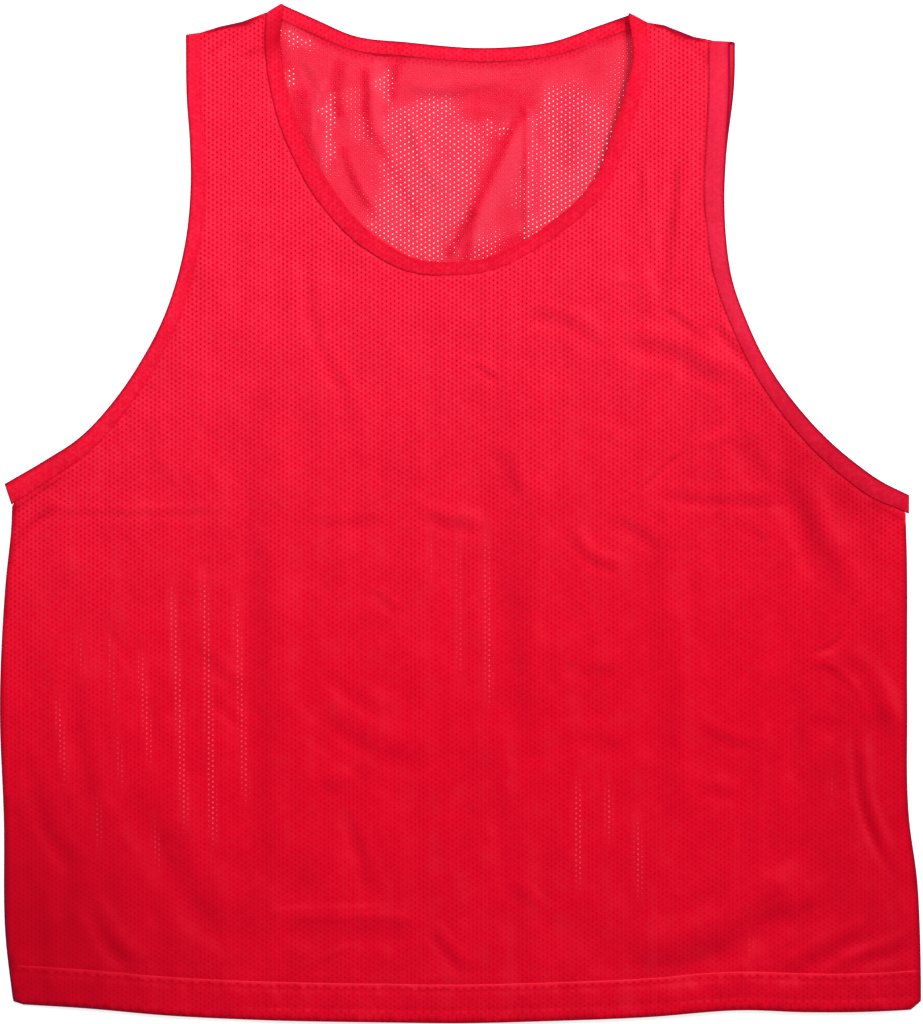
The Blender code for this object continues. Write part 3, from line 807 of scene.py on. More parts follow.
# Both edges of each strip, with the cloth on the left of its free edge
RIGHT_WIDTHS = looked_up(RIGHT_ARM_WIDTHS, RIGHT_ARM_LINE[:, 1])
LEFT_WIDTHS = looked_up(LEFT_ARM_WIDTHS, LEFT_ARM_LINE[:, 1])
NECK_WIDTHS = looked_up(FRONT_NECK_WIDTHS, shares_along(FRONT_NECK_LINE))
STRIPS = {
    "right_arm_front": strip_edges(
        RIGHT_ARM_LINE, RIGHT_WIDTHS, RIGHT_UNDERARM_CUT, RIGHT_ARM_FOLD
    ),
    "right_arm_back": strip_edges(
        RIGHT_ARM_BACK_LINE, RIGHT_WIDTHS, RIGHT_UNDERARM_CUT, RIGHT_ARM_FOLD
    ),
    "left_arm": strip_edges(LEFT_ARM_LINE, LEFT_WIDTHS, LEFT_ARM_FOLD, LEFT_UNDERARM_CUT),
    "front_neck": strip_edges(FRONT_NECK_LINE, NECK_WIDTHS, RIGHT_NECK_FOLD, LEFT_NECK_FOLD),
    "back_neck": strip_edges(BACK_NECK_LINE, NECK_WIDTH, RIGHT_NECK_FOLD, LEFT_NECK_FOLD),
}
HEM_LINE = smooth_line(HEM, OUTLINE_STEP)
RIGHT_LINE = smooth_line(RIGHT_SIDE, OUTLINE_STEP)
LEFT_LINE = smooth_line(LEFT_SIDE, OUTLINE_STEP)
HEM_SEAM = HEM_LINE + np.array((0.0, HEM_DEPTH))
SIDE_SEAMS = (stepped(RIGHT_LINE, SEAM_STEP), stepped(LEFT_LINE, SEAM_STEP))
BOUND_EDGES = ("right_arm_front", "left_arm", "front_neck")
NECK_OPENING = stepped(
    np.vstack((STRIPS["front_neck"][0], STRIPS["back_neck"][0][::-1])), SEAM_STEP / 2
)
OUTER_EDGES = (HEM_LINE[::3], RIGHT_LINE[::4], LEFT_LINE[::4])
OUTER_EDGES += (np.array(RIGHT_SHOULDER), np.array(LEFT_SHOULDER))
SHOULDERS = (
    np.array((STRIPS["right_arm_front"][0][-1], STRIPS["front_neck"][0][0])),
    np.array((STRIPS["left_arm"][0][0], STRIPS["front_neck"][0][-1])),
)


def hem_height(from_centre):
    """How high the hem's edge is, at a distance from the centre line."""
    return np.interp(from_centre, HEM_LINE[:, 0], HEM_LINE[:, 1])


def side_parts(side, distance):
    """A side line's parts below and above the hem's seam, moved up by a distance."""
    level = side[:, 1] - hem_height(side[:, 0]) - HEM_DEPTH - distance
    after = int(np.argmax(level > 0.0))
    share = level[after - 1] / (level[after - 1] - level[after])
    crossing = side[after - 1] + share * (side[after] - side[after - 1])
    return np.vstack((side[:after], crossing)), np.vstack((crossing, side[after:]))


def seam_between(left, right, distance):
    """The hem's seam, moved up by a distance, between two places from left to right."""
    line = HEM_SEAM + np.array((0.0, distance))
    clear = OUTLINE_STEP / 2.0
    return line[(line[:, 0] > left[0] + clear) & (line[:, 0] < right[0] - clear)]


RIGHT_INSET = beside(RIGHT_LINE, RIM)
LEFT_INSET = beside(LEFT_LINE[::-1], RIM)[::-1]


def body_outline(right_arm, neck):
    """The closed outline of a panel above its hem, anticlockwise, a rim inside its edges."""
    right = side_parts(RIGHT_INSET, -HEM_UNDER)[1]
    left = side_parts(LEFT_INSET, -HEM_UNDER)[1]
    edges = [
        seam_between(left[0], right[0], -HEM_UNDER),
        right,
        beside(stepped(STRIPS[right_arm][1], OUTLINE_STEP), RIM - TUCK)[2:],
        np.array(RIGHT_SHOULDER),
        beside(stepped(STRIPS[neck][1], OUTLINE_STEP), RIM - TUCK),
        np.array(LEFT_SHOULDER),
        beside(stepped(STRIPS["left_arm"][1], OUTLINE_STEP), RIM - TUCK)[:-2],
        left[::-1],
    ]
    return np.vstack(edges)


def hem_outline():
    """The closed outline of a hem, anticlockwise, a rim inside its edges."""
    right = side_parts(RIGHT_INSET, HEM_OVER - RIM)[0]
    left = side_parts(LEFT_INSET, HEM_OVER - RIM)[0]
    edges = [
        beside(HEM_LINE, RIM)[1:-1],
        right,
        seam_between(left[-1], right[-1], HEM_OVER - RIM)[::-1],
        left[::-1],
    ]
    return np.vstack(edges)


def distance_to(line, places):
    """The distance of each place from the nearest stretch of a line."""
    starts, ends = line[:-1], line[1:]
    runs = ends - starts
    squares = (runs**2).sum(axis=1)
    nearest = np.full(len(places), np.inf)
    for start, run, square in zip(starts, runs, squares):
        off = places - start
        share = np.clip((off @ run) / square, 0.0, 1.0)
        gaps = off - share[:, None] * run
        nearest = np.minimum(nearest, (gaps**2).sum(axis=1))
    return np.sqrt(nearest)


def nearest_of(lines, places):
    """The distance of each place from the nearest of some lines."""
    return np.minimum.reduce([distance_to(line, places) for line in lines])


def sewn_line(name):
    """The sewn edge of a strip, in coarse steps."""
    return stepped(STRIPS[name][1], SEAM_STEP / 2)


def inside_edges(starts, ends, places):
    """Which places lie inside the loops that these edges make."""
    found = np.zeros(len(places), bool)
    for a, b in zip(starts, ends):
        if a[1] == b[1]:
            continue
        crosses = (a[1] > places[:, 1]) != (b[1] > places[:, 1])
        at = a[0] + (places[:, 1] - a[1]) * (b[0] - a[0]) / (b[1] - a[1])
        found ^= crosses & (places[:, 0] < at)
    return found


def inside(outline, places):
    """Which places lie inside a closed outline."""
    return inside_edges(outline, np.roll(outline, -1, axis=0), places)


def photo_places(pixels):
    """Places on the vest for pixels of the photograph."""
    pixels = np.array(pixels, float)
    across = (pixels[:, 0] - CENTRE_PIXEL) * METRES_PER_PIXEL
    return np.column_stack((across, (HEM_PIXEL - pixels[:, 1]) * METRES_PER_PIXEL))


def nearest_on(line, places):
    """Each place's distance to the left of a line, and its share of the way."""
    starts, runs = line[:-1], np.diff(line, axis=0)
    lengths = np.linalg.norm(runs, axis=1)
    along = lengths_along(line)
    best = np.full(len(places), np.inf)
    side, share = np.zeros(len(places)), np.zeros(len(places))
    for start, run, length, before in zip(starts, runs, lengths, along):
        off = places - start
        t = np.clip((off @ run) / length**2, 0.0, 1.0)
        gaps = off - t[:, None] * run
        away = np.linalg.norm(gaps, axis=1)
        closer = away < best
        left = np.where(run[0] * off[:, 1] - run[1] * off[:, 0] >= 0.0, 1.0, -1.0)
        best = np.where(closer, away, best)
        side = np.where(closer, left * away, side)
        share = np.where(closer, (before + t * length) / along[-1], share)
    return side, share


def line_near(pixels, reach, places):
    """A smooth line through pixels of the photograph, and which places are near its box."""
    line = smooth_line(photo_places(pixels), CREASE_STEP)
    low, high = line.min(axis=0) - reach, line.max(axis=0) + reach
    return line, np.all((places > low) & (places < high), axis=1)


def creases_at(table, places):
    """How far the creases of a table raise the cloth at each place."""
    total = np.zeros(len(places))
    for left_reach, right_reach, ridge, step, pixels in table:
        reaches = np.array((left_reach, right_reach)) * METRES_PER_PIXEL
        line, near = line_near(pixels, max(reaches), places)
        side, share = nearest_on(line, places[near])
        across = np.clip(side / np.where(side > 0.0, reaches[0], reaches[1]), -1.0, 1.0)
        fall = (1.0 - across**2) ** 4
        ends = ease(np.minimum(share, 1.0 - share) / FOLD_ENDS)
        total[near] += fall * (ridge + STEP_PEAK * step * across) * ends
    return total


def no_lower(heights, least):
    """Heights that stay above the least one, smoothly."""
    above = heights - least
    return heights + 0.5 * (np.hypot(above, LEAST_BLEND) - above)


def front_relief(places):
    """How far air and folds raise the front, which its seams hold down."""
    sides, shoulders = nearest_of(SIDE_SEAMS, places), nearest_of(SHOULDERS, places)
    held = ease(sides / FOLD_FADE) * ease(shoulders / SHOULDER_FADE)
    air = AIR * ease(np.minimum(sides, shoulders) / AIR_REACH)
    uneven = rough("front", places) + rough("front_fine", places)
    relief = air + held * (CREASE_SHARE * creases_at(CREASES, places) + uneven)
    return no_lower(relief, LEAST_RELIEF)


def seams_at(places):
    """How far the bindings' seams sink the front, and how near the next one is."""
    total = np.zeros(len(places))
    nearest = np.full(len(places), np.inf)
    for name, depth in SEAM_GROOVES.items():
        side, _ = nearest_on(sewn_line(name), places)
        nearest = np.minimum(nearest, np.abs(side))
        total -= depth * seam_strength(name, places[:, 0]) * fading(side, GROOVE_REACH)
        total -= TUCK_DEPTH * ease(-side / TUCK) * (np.abs(side) < TUCK_NEAR)
    return total, nearest


def front_level(places):
    """Height of the front's cloth."""
    grooves, bound = seams_at(places)
    hem = np.maximum(places[:, 1] - hem_height(places[:, 0]) - HEM_DEPTH, 0.0)
    grooves -= HEM_GROOVE * fading(hem, GROOVE_REACH)
    grooves += HEM_SWELL * fading(hem - HEM_SWELL_RISE, HEM_SWELL_REACH)
    pucker = rough("seam_pucker", places) * fading(np.minimum(bound, hem), PUCKER_REACH)
    return FRONT_REST + front_relief(places) + grooves + pucker


def hem_level(places):
    """Height of the upper layer of the front's hem."""
    above_edge = places[:, 1] - hem_height(places[:, 0])
    seam = np.abs(above_edge - HEM_DEPTH + HEM_STITCH_INSET)
    pucker = rough("seam_pucker", places) * fading(seam, PUCKER_REACH)
    inner = INNER_LINE_DEPTH * ease((places[:, 0] - INNER_LINE_FROM) / INNER_LINE_START)
    grooves = -HEM_GROOVE * fading(seam, GROOVE_REACH)
    grooves -= inner * fading(above_edge - INNER_LINE, INNER_LINE_REACH)
    return FRONT_REST + HEM_RISE + front_relief(places) + grooves + pucker


def back_level(places):
    """Height of the back's cloth: on the floor, but for folds inside the neck."""
    clear = ease(distance_to(STRIPS["front_neck"][0][::4], places) / NECK_FADE)
    clear = clear * inside(NECK_OPENING, places)
    folds = creases_at(BACK_CREASES, places) + rough("back_in_neck", places)
    return no_lower(BACK_REST + rough("back_hidden", places) + clear * folds, LEAST_BACK)


def back_hem_level(places):
    """Height of the back's hem, which lies flat under the front's."""
    return np.full(len(places), BACK_HEM_LEVEL)


def row_height(row):
    """The height of a row of holes above the hem."""
    return ROW_STEP * row - ROW_SHRINK * row * row / 2.0


def row_at(height):
    """The row, and share of a row, at a height above the hem."""
    return (ROW_STEP - np.sqrt(ROW_STEP**2 - 2.0 * ROW_SHRINK * height)) / ROW_SHRINK


def patches_at(table, places):
    """The highest share that the rounded, uneven patches of a table give each place."""
    found = np.zeros(len(places))
    uneven = rough("patch_edges", places)
    for *ends, half_width, share in table:
        away = distance_to(np.array(ends).reshape(2, 2), places) - half_width + uneven
        fade = min(OPEN_FADE, PATCH_FADE * half_width)
        found = np.maximum(found, share * ease(0.5 - away / fade))
    return found


def openness_at(places):
    """How far the back's holes are open to the floor inside the neck, from 0 to 1."""
    openness = patches_at(OPEN_PLACES, places) - patches_at(CLOSED_PLACES, places)
    return np.clip(openness, 0.0, 1.0)


def streak_lines():
    """The top and the bottom of each streak, on the vest, and its strength."""
    return [(*photo_places((row[1:3], row[3:5])), row[0]) for row in STREAKS]


def streak_share(places):
    """How far the back's columns stand right under the front's, from 0 to 1."""
    found = np.zeros(len(places))
    for top, bottom, strength in streak_lines():
        down = (top[1] - places[:, 1]) / (top[1] - bottom[1])
        middle = top[0] + (bottom[0] - top[0]) * np.clip(down, 0.0, 1.0)
        across = np.abs(places[:, 0] - middle) - STREAK_HALF
        beyond = np.maximum(bottom[1] - places[:, 1], places[:, 1] - top[1])
        share = strength * ease(0.5 - across / STREAK_FADE) * ease(0.5 - beyond / STREAK_ENDS)
        found = np.maximum(found, share)
    return found


def streak_rows():
    """The rows by which each streak moves the back's holes, to lie under the front's."""
    moves = []
    last = 0.0
    turns_per_metre = (BACK_DROP - FRONT_DROP) / COLUMN_STEP
    for top, bottom, _ in sorted(streak_lines(), key=lambda line: line[0][0]):
        middle = (top + bottom) / 2.0
        lean = (bottom[0] - top[0]) / (top[1] - bottom[1])
        turns = turns_per_metre * middle[0]
        last = turns - round(turns - last)
        moves.append((middle, last, turns_per_metre * lean))
    return moves


def streak_shift(places):
    """The rows by which the back's holes are moved at each place, blended smoothly."""
    weights = np.full(len(places), LEAST_WEIGHT)
    total = np.zeros(len(places))
    for middle, rows, lean in streak_rows():
        off = (places - middle) / np.array(STREAK_BLEND)
        weight = np.exp(-(off**2).sum(axis=1))
        below = np.clip(middle[1] - places[:, 1], -STREAK_LEAN_REACH, STREAK_LEAN_REACH)
        weights += weight
        total += weight * (rows + lean * below)
    return total / weights


def with_spots(values, table, places):
    """Values for the places, with the round soft spots of a table added."""
    for from_centre, height, reach, more in table:
        away = np.linalg.norm(places - np.array((from_centre, height)), axis=1)
        values = values + more * fading(away, reach)
    return values


def front_holes(places):
    """Where the front's holes really are, their rows' shift, and their size."""
    size = looked_up(FRONT_HOLE_SIZES, places[:, 1])
    size = size * (1.0 + rough("hole_bands", places) + rough("hole_clouds", places))
    size = with_spots(size, DOT_PLACES, places)
    return places, np.zeros(len(places)), np.maximum(size, STREAK_HOLE * streak_share(places))


def in_neck(places):
    """Which places lie in the neck opening or at its very edge."""
    return inside(NECK_OPENING, places) | (distance_to(NECK_OPENING, places) < NECK_MARGIN)


def back_holes(places):
    """Where the back's holes really are, their rows' shift, and their size."""
    in_streak = streak_share(places)
    moved = places.copy()
    moved[:, 0] += (1.0 - in_streak) * COLUMN_STEP / 2.0
    neck_size = SHUT + (1.0 - SHUT) * openness_at(places)
    more = (STREAK_BACK_HOLE - HIDDEN_HOLE) * np.minimum(in_streak / FULL_STREAK, 1.0)
    size = np.where(in_neck(places), neck_size, HIDDEN_HOLE + more)
    return moved, streak_shift(places), size


def cells_of(outline, drop, holes, hole, margin):
    """The holes that fit in a panel: their columns, rows, places and half sizes."""
    low, high = outline.min(axis=0), outline.max(axis=0)
    columns = np.arange(math.ceil(low[0] / COLUMN_STEP), math.floor(high[0] / COLUMN_STEP) + 1)
    steps = np.arange(
        math.floor(row_at(low[1])) - SPARE_ROWS, math.ceil(row_at(high[1])) + 2 + SPARE_ROWS
    )
    column, step = (grid.ravel() for grid in np.meshgrid(columns, steps, indexing="ij"))
    row = step - np.mod(drop * column, 1.0)
    places = np.column_stack((column * COLUMN_STEP, row_height(row)))
    moved, shift, size = holes(places)
    moved[:, 1] += shift * ROW_STEP
    near = inside(outline, moved)
    column, step, row, moved, size = column[near], step[near], row[near], moved[near], size[near]
    rng = np.random.default_rng(HOLE_SEED)
    moved = moved + rng.normal(0.0, HOLE_WANDER, moved.shape)
    size = size * (1.0 + rng.normal(0.0, HOLE_UNEVEN, len(size)))
    halves = np.array(hole) / 2.0 * size[:, None]
    closed = np.vstack((outline, outline[:1]))
    fits = inside(outline, moved) & (distance_to(closed, moved) > max(hole) / 2.0 + margin)
    return column[fits], step[fits], row[fits], moved[fits], halves[fits]


def zipped(left, right, heights):
    """Triangles between the facing edges of two columns, from the bottom up."""
    faces = []
    a = b = 0
    while a < len(left) - 1 or b < len(right) - 1:
        left_done, right_done = a == len(left) - 1, b == len(right) - 1
        if right_done or (not left_done and heights[left[a + 1]] <= heights[right[b + 1]]):
            faces.append((left[a], right[b], left[a + 1]))
            a += 1
        else:
            faces.append((left[a], right[b], right[b + 1]))
            b += 1
    return faces


def runs_of(column, step):
    """The cells of each column, in unbroken runs from the bottom up."""
    order = np.lexsort((step, column))
    runs = {}
    for index in order:
        found = runs.setdefault(int(column[index]), [])
        if found and step[found[-1][-1]] + 1 == step[index]:
            found[-1].append(int(index))
        else:
            found.append([int(index)])
    return runs


def chain(run, corners):
    """The points along one side of a column's holes."""
    return [4 * cell + corner for cell in run for corner in corners]


def overlap(first, second, heights):
    """The stretches of two chains that face each other, or None."""
    low = max(heights[first[0]], heights[second[0]])
    high = min(heights[first[-1]], heights[second[-1]])
    if high - low < ROW_STEP / 2.0:
        return None
    parts = []
    for points in (first, second):
        starts, ends = points[::3], points[2::3]
        begin = min(range(len(starts)), key=lambda i: abs(heights[starts[i]] - low))
        finish = min(range(len(ends)), key=lambda i: abs(heights[ends[i]] - high))
        if finish < begin:
            return None
        parts.append(points[3 * begin : 3 * finish + 3])
    return parts


def knit_cloth(outline, drop, holes, hole, margin):
    """Points, faces and knit places of a cloth with its holes cut."""
    column, step, row, centres, halves = cells_of(outline, drop, holes, hole, margin)
    count = len(column)
    corners = np.array(((0.0, -1.0), (1.0, 0.0), (0.0, 1.0), (-1.0, 0.0)))
    points = (centres[:, None, :] + corners[None] * halves[:, None, :]).reshape(-1, 2)
    knit = np.column_stack((column, row)).astype(float)
    spread = halves / np.array((COLUMN_STEP, ROW_STEP))
    knit = (knit[:, None, :] + corners[None] * spread[:, None, :]).reshape(-1, 2)
    heights = points[:, 1].tolist()
    runs = runs_of(column, step)
    faces = []
    for number in sorted(runs):
        for here in runs[number]:
            for there in runs.get(number + 1, []):
                parts = overlap(chain(here, (0, 1, 2)), chain(there, (0, 3, 2)), heights)
                if parts:
                    faces += zipped(parts[0], parts[1], heights)
    lids = [(4 * c, 4 * c + 1, 4 * c + 2, 4 * c + 3) for c in range(count)]
    border = border_of(faces, lids)
    ring_points, ring_faces = ring_between(outline, points, border)
    moved, shift, _ = holes(ring_points)
    unmoved = 2.0 * ring_points - moved
    unmoved[:, 1] -= shift * ROW_STEP
    ring_knit = np.column_stack((unmoved[:, 0] / COLUMN_STEP, row_at(unmoved[:, 1])))
    points = np.vstack((points, ring_points))
    knit = np.vstack((knit, ring_knit))
    return points, faces + ring_faces, knit


def border_of(faces, lids):
    """The edges that only one triangle or hole uses."""
    triangles, quads = np.array(faces), np.array(lids)
    edges = [triangles[:, (i, (i + 1) % 3)] for i in range(3)]
    edges += [quads[:, (i, (i + 1) % 4)] for i in range(4)]
    edges = np.vstack(edges)
    ordered = np.sort(edges, axis=1)
    _, first, uses = np.unique(ordered, axis=0, return_index=True, return_counts=True)
    return edges[first[uses == 1]]


def ring_between(outline, points, border):
    """The cloth between a panel's outline and its outermost holes."""
    used = np.unique(border)
    place_of = {int(old): len(outline) + new for new, old in enumerate(used)}
    flat = [Vector(p) for p in outline] + [Vector(p) for p in points[used]]
    edges = [(place_of[int(a)], place_of[int(b)]) for a, b in border]
    loop = list(range(len(outline)))
    flat, _, triangles, origins, *_ = delaunay_2d_cdt(flat, edges, [loop], INSIDE_ONLY, SAME_PLACE)
    flat = np.array([tuple(p) for p in flat])
    triangles = np.array(triangles)
    middles = flat[triangles].mean(axis=1)
    starts, ends = points[border[:, 0]], points[border[:, 1]]
    kept = triangles[~inside_edges(starts, ends, middles)]
    back = {place: old for old, place in place_of.items()}
    base = len(points)
    numbers = []
    new_points = []
    for place, origin in zip(flat, origins):
        known = [back[o] for o in origin if o in back]
        if known:
            numbers.append(known[0])
        else:
            numbers.append(base + len(new_points))
            new_points.append(place)
    faces = [tuple(numbers[corner] for corner in face) for face in kept]
    return np.array(new_points), faces


def loop_of(faces, outline_start):
    """The closed loop of the panel's outer edge, anticlockwise."""
    seen = set()
    for face in faces:
        for a, b in zip(face, face[1:] + face[:1]):
            if a >= outline_start and b >= outline_start:
                seen.add((a, b))
    edges = {a: b for a, b in seen if (b, a) not in seen}
    start = next(iter(edges))
    loop = [start]
    while edges[loop[-1]] != start and len(loop) <= len(edges):
        loop.append(edges[loop[-1]])
    return loop


def shaped(name, points, faces, material, maps, tones=None, floor_light=None):
    """A new smooth piece, from points whose Y is measured from the hem."""
    mesh = bpy.data.meshes.new(name)
    mesh.from_pydata([(x, y - LENGTH / 2, z) for x, y, z in points], [], faces)
    mesh.materials.append(material)
    mesh.shade_smooth()
    corners = np.empty(len(mesh.loops), int)
    mesh.loops.foreach_get("vertex_index", corners)
    for map_name, places in maps.items():
        layer = mesh.uv_layers.new(name=map_name)
        layer.data.foreach_set("uv", places[corners].astype(np.float32).ravel())
    if tones is not None:
        tone = mesh.attributes.new("tone", "FLOAT", "POINT")
        tone.data.foreach_set("value", np.asarray(tones, np.float32))
    # The share of painted floor light, for the holes of the streaks
    if floor_light is not None:
        share = mesh.attributes.new("floor_light", "FLOAT", "POINT")
        share.data.foreach_set("value", np.asarray(floor_light, np.float32))
    mesh.validate()
    piece = bpy.data.objects.new(name, mesh)
    bpy.context.scene.collection.objects.link(piece)
    return piece


def laid_out(points):
    """The flat map of the whole vest."""
    across = points[:, 0] / MAP_SIZE[0] + 0.5
    return np.column_stack((across, points[:, 1] / MAP_SIZE[1] + MAP_FOOT))


def make_panel(name, outline, cut, level, seam, closed, tone, material):
    """A cloth with cut holes and an edge that is rolled to the height of its seam."""
    flat, faces, knit = knit_cloth(outline, *cut)
    height = level(flat)
    loop = loop_of(faces, len(flat) - len(outline))
    edge = flat[loop]
    ahead = np.roll(edge, -1, axis=0) - np.roll(edge, 1, axis=0)
    ahead /= np.linalg.norm(ahead, axis=1)[:, None]
    out = np.column_stack((ahead[:, 1], -ahead[:, 0]))
    layers = [np.column_stack((flat, height))]
    before = loop
    for step in range(RIM_STEPS):
        angle = math.pi / 2.0 * (step + 1) / RIM_STEPS
        z = seam + (height[loop] - seam) * math.cos(angle)
        layers.append(np.column_stack((edge + out * RIM * math.sin(angle), z)))
        first = len(flat) + step * len(loop)
        here = list(range(first, first + len(loop)))
        faces += zip(before, here, here[1:] + here[:1], before[1:] + before[:1])
        before = here
    if closed:
        rim = [Vector(place) for place in layers[-1][:, :2]]
        _, _, triangles, origins, *_ = delaunay_2d_cdt(
            rim, [], [list(range(len(rim)))], INSIDE_ONLY, SAME_PLACE
        )
        numbers = [before[origin[0]] for origin in origins]
        faces += [tuple(numbers[corner] for corner in reversed(face)) for face in triangles]
    points = np.vstack(layers)
    places = points[:, :2]
    maps = {"OFBake": laid_out(points), "knit": np.vstack([knit] + [knit[loop]] * RIM_STEPS)}
    return shaped(name, points, faces, material, maps, tone(places), streak_share(places))


def shade_tone(places):
    """The broad soft painted shade."""
    return with_spots(np.zeros(len(places)), SHADES, places)


def edge_tone(places):
    """Painted shade along the outer edges of the vest, where the cloth rolls away, with the broad
    painted shade.
    """
    return -EDGE_TONE * fading(nearest_of(OUTER_EDGES, places), EDGE_REACH) + shade_tone(places)


def seam_strength(name, across):
    """How deep a seam's groove and its painted shade are; the neck's are less on the right."""
    if name != "front_neck":
        return np.ones(np.shape(across))
    start, end, least = NECK_SEAM
    return least + (1.0 - least) * ease((start - across) / (start - end))


def seam_tone(names, places):
    """Painted shade in the grooves along the seams of some bindings."""
    tones = []
    for name in names:
        depth = BINDING_LOOKS[name][0] * seam_strength(name, places[:, 0])
        tones.append(-depth * fading(distance_to(sewn_line(name), places), SEAM_LINE))
    return np.minimum.reduce(tones)


def stroke_tone(table, places):
    """The painted light and painted shade of a table's strokes, placed by pixels of the photograph."""
    total = np.zeros(len(places))
    for half_width, tone, pixels in table:
        reach = half_width * METRES_PER_PIXEL
        line, near = line_near(pixels, 3 * reach, places)
        total[near] += tone * np.exp(-((distance_to(line, places[near]) / reach) ** 3))
    return total


def front_tone(places):
    """Random lighter and darker bands along the columns, with painted shade along folds, outer edges
    and seams.
    """
    bands = rough("tone_bands", places) + rough("tone_clouds", places)
    strokes = stroke_tone(FRONT_STROKES, places)
    return BAND_TONE * bands + strokes + edge_tone(places) + seam_tone(BOUND_EDGES, places)


def back_tone(places):
    """Painted light inside the neck opening, from the floor's light through the thin cloth, most where
    the floor shines through open holes.
    """
    paler = (NECK_TONE + stroke_tone(BACK_STROKES, places)) * in_neck(places)
    paler += OPEN_TONE * openness_at(places)
    return paler + edge_tone(places) + seam_tone(("back_neck",), places)


def rungs_on_top(strip):
    """Rungs of a strip on the front: outer then inner corners, free then sewn."""
    free, sewn = strip
    high = FRONT_ON_BINDING + front_relief(free)
    low = FRONT_ON_BINDING + front_relief(sewn)
    if strip is STRIPS["front_neck"]:
        high += looked_up(NECK_RAISE, shares_along(free))
    rungs = []
    for f, s, a, b in zip(free, sewn, high, low):
        rungs.append(((*f, a + BINDING), (*s, b + BINDING), (*s, b), (*f, a)))
    return [np.array(rung) for rung in rungs]


def rungs_below(strip):
    """Rungs of a strip that lies on the floor, with its outer side down."""
    return [
        np.array(((*f, 0.0), (*s, 0.0), (*s, BINDING), (*f, BINDING))) for f, s in zip(*strip)
    ]


def rungs_over(top, below):
    """Rungs of the half turn by which a strip goes from the front to the back."""
    along = top[1][:2] - top[0][:2]
    out = np.array((-along[1], along[0], 0.0)) / np.linalg.norm(along)
    if out[1] < 0:
        out = -out
    rungs = []
    for step in range(1, TURN_STEPS):
        angle = math.pi * step / TURN_STEPS
        share = (1.0 - math.cos(angle)) / 2.0
        rung = []
        for a, b in zip(top, below):
            radius = abs(a[2] - b[2]) / 2.0
            place = a + (b - a) * share
            rung.append(place + out * radius * math.sin(angle))
        rungs.append(np.array(rung))
    return rungs


def drop_for(name):
    """How far a binding's sewn edge sinks to meet its panel, as a share of its thickness."""
    level = FRONT_ON_BINDING + BINDING / 2.0 - FRONT_REST
    return (level + SEAM_GROOVES[name]) / BINDING


def along_band(top, below, count, on_top, closed):
    """A value for each rung: one on the front, one below, and from one to the other in a turn."""
    values = np.full(count, below)
    values[:on_top] = top
    turning = np.linspace(top, below, TURN_STEPS + 1)[1:-1]
    values[on_top : on_top + len(turning)] = turning
    if closed:
        values[-len(turning) :] = turning[::-1]
    return values


def tube_faces(rings, corners, closed, inward=False):
    """Faces round a tube of rings with so many corners, and its ends where it has any."""
    faces = []
    for ring in range(rings if closed else rings - 1):
        here, there = corners * ring, corners * ((ring + 1) % rings)
        for side in range(corners):
            after = (side + 1) % corners
            face = (here + side, here + after, there + after, there + side)
            faces.append(face[:1] + face[:0:-1] if inward else face)
    if not closed:
        first = tuple(range(corners))
        last = tuple(range(corners * (rings - 1), corners * rings))
        faces += (first, last[::-1]) if inward else (first[::-1], last)
    return faces


def make_binding(name, strip, rungs, on_top, closed, material):
    """A rounded strip that follows its rungs. Its first rungs lie on the front."""
    loop = [(across, 0.5 + half) for across, half in BINDING_PROFILE]
    loop += [(across, 0.5 - half) for across, half in BINDING_PROFILE[:0:-1]]
    middles = np.array([rung.mean(axis=0) for rung in rungs])
    along = lengths_along(middles)
    waves = rough("binding_wrinkles", np.column_stack((along, np.zeros(len(along)))))
    swells = rough("binding_swells", np.column_stack((along, np.ones(len(along)))))
    shades = shade_tone(middles[:, :2])
    below = -0.5 * (1.0 - BINDING_FLATNESS)
    sunk = along_band(drop_for(strip), below, len(rungs), on_top, closed)
    evens = along_band(EVEN_DROP, 1.0, len(rungs), on_top, closed)
    around = np.linspace(0.0, 1.0, len(loop), endpoint=False)
    points, places, tones = [], [], []
    for number, (rung, wave, swell, distance) in enumerate(zip(rungs, waves, swells, along)):
        outer_free, outer_sewn, inner_sewn, inner_free = rung
        shown = strip if number < on_top or not closed else "back_neck"
        seam_dark, free_dark, free_reach = BINDING_LOOKS[shown]
        seam_dark *= float(seam_strength(shown, outer_sewn[0]))
        for (across, up), turn in zip(loop, around):
            near_seam = WRINKLE_FREE + (1.0 - WRINKLE_FREE) * across
            lift = WRINKLE * wave * near_seam + SWELL * swell
            inner = inner_free + (inner_sewn - inner_free) * across
            outer = outer_free + (outer_sewn - outer_free) * across
            up = 0.5 + BINDING_FLATNESS * (up - 0.5) * (1.0 + lift)
            sewn = float(ease((across - (1.0 - SEWN_PART)) / SEWN_PART))
            up -= sunk[number] * (evens[number] + (1.0 - evens[number]) * sewn)
            # Painted shade along the free edge and the seam, and a painted highlight along the middle
            tone = -free_dark * fading(across, free_reach)
            tone -= seam_dark * fading(1.0 - across, SEAM_SHADE_REACH)
            tone += BINDING_TONE * fading(across - MIDDLE_AT, MIDDLE_REACH)
            tones.append(tone + BAND_TONE * swell + shades[number])
            points.append(inner + (outer - inner) * up)
            places.append((distance, turn))
    faces = tube_faces(len(rungs), len(loop), closed)
    points = np.array(points)
    places = np.array(places) / np.array((along[-1] * BAKE_MARGIN, 1.0))
    knit = np.column_stack((points[:, 0] / COLUMN_STEP, row_at(points[:, 1])))
    return shaped(name, points, faces, material, {"OFBake": places, "knit": knit}, tones)


def arm_rungs(front, back):
    """Rungs of an armhole's binding: along the front, over the shoulder and under the back."""
    top, below = rungs_on_top(front), rungs_below(back)
    return top + rungs_over(top[-1], below[-1]) + below[::-1]


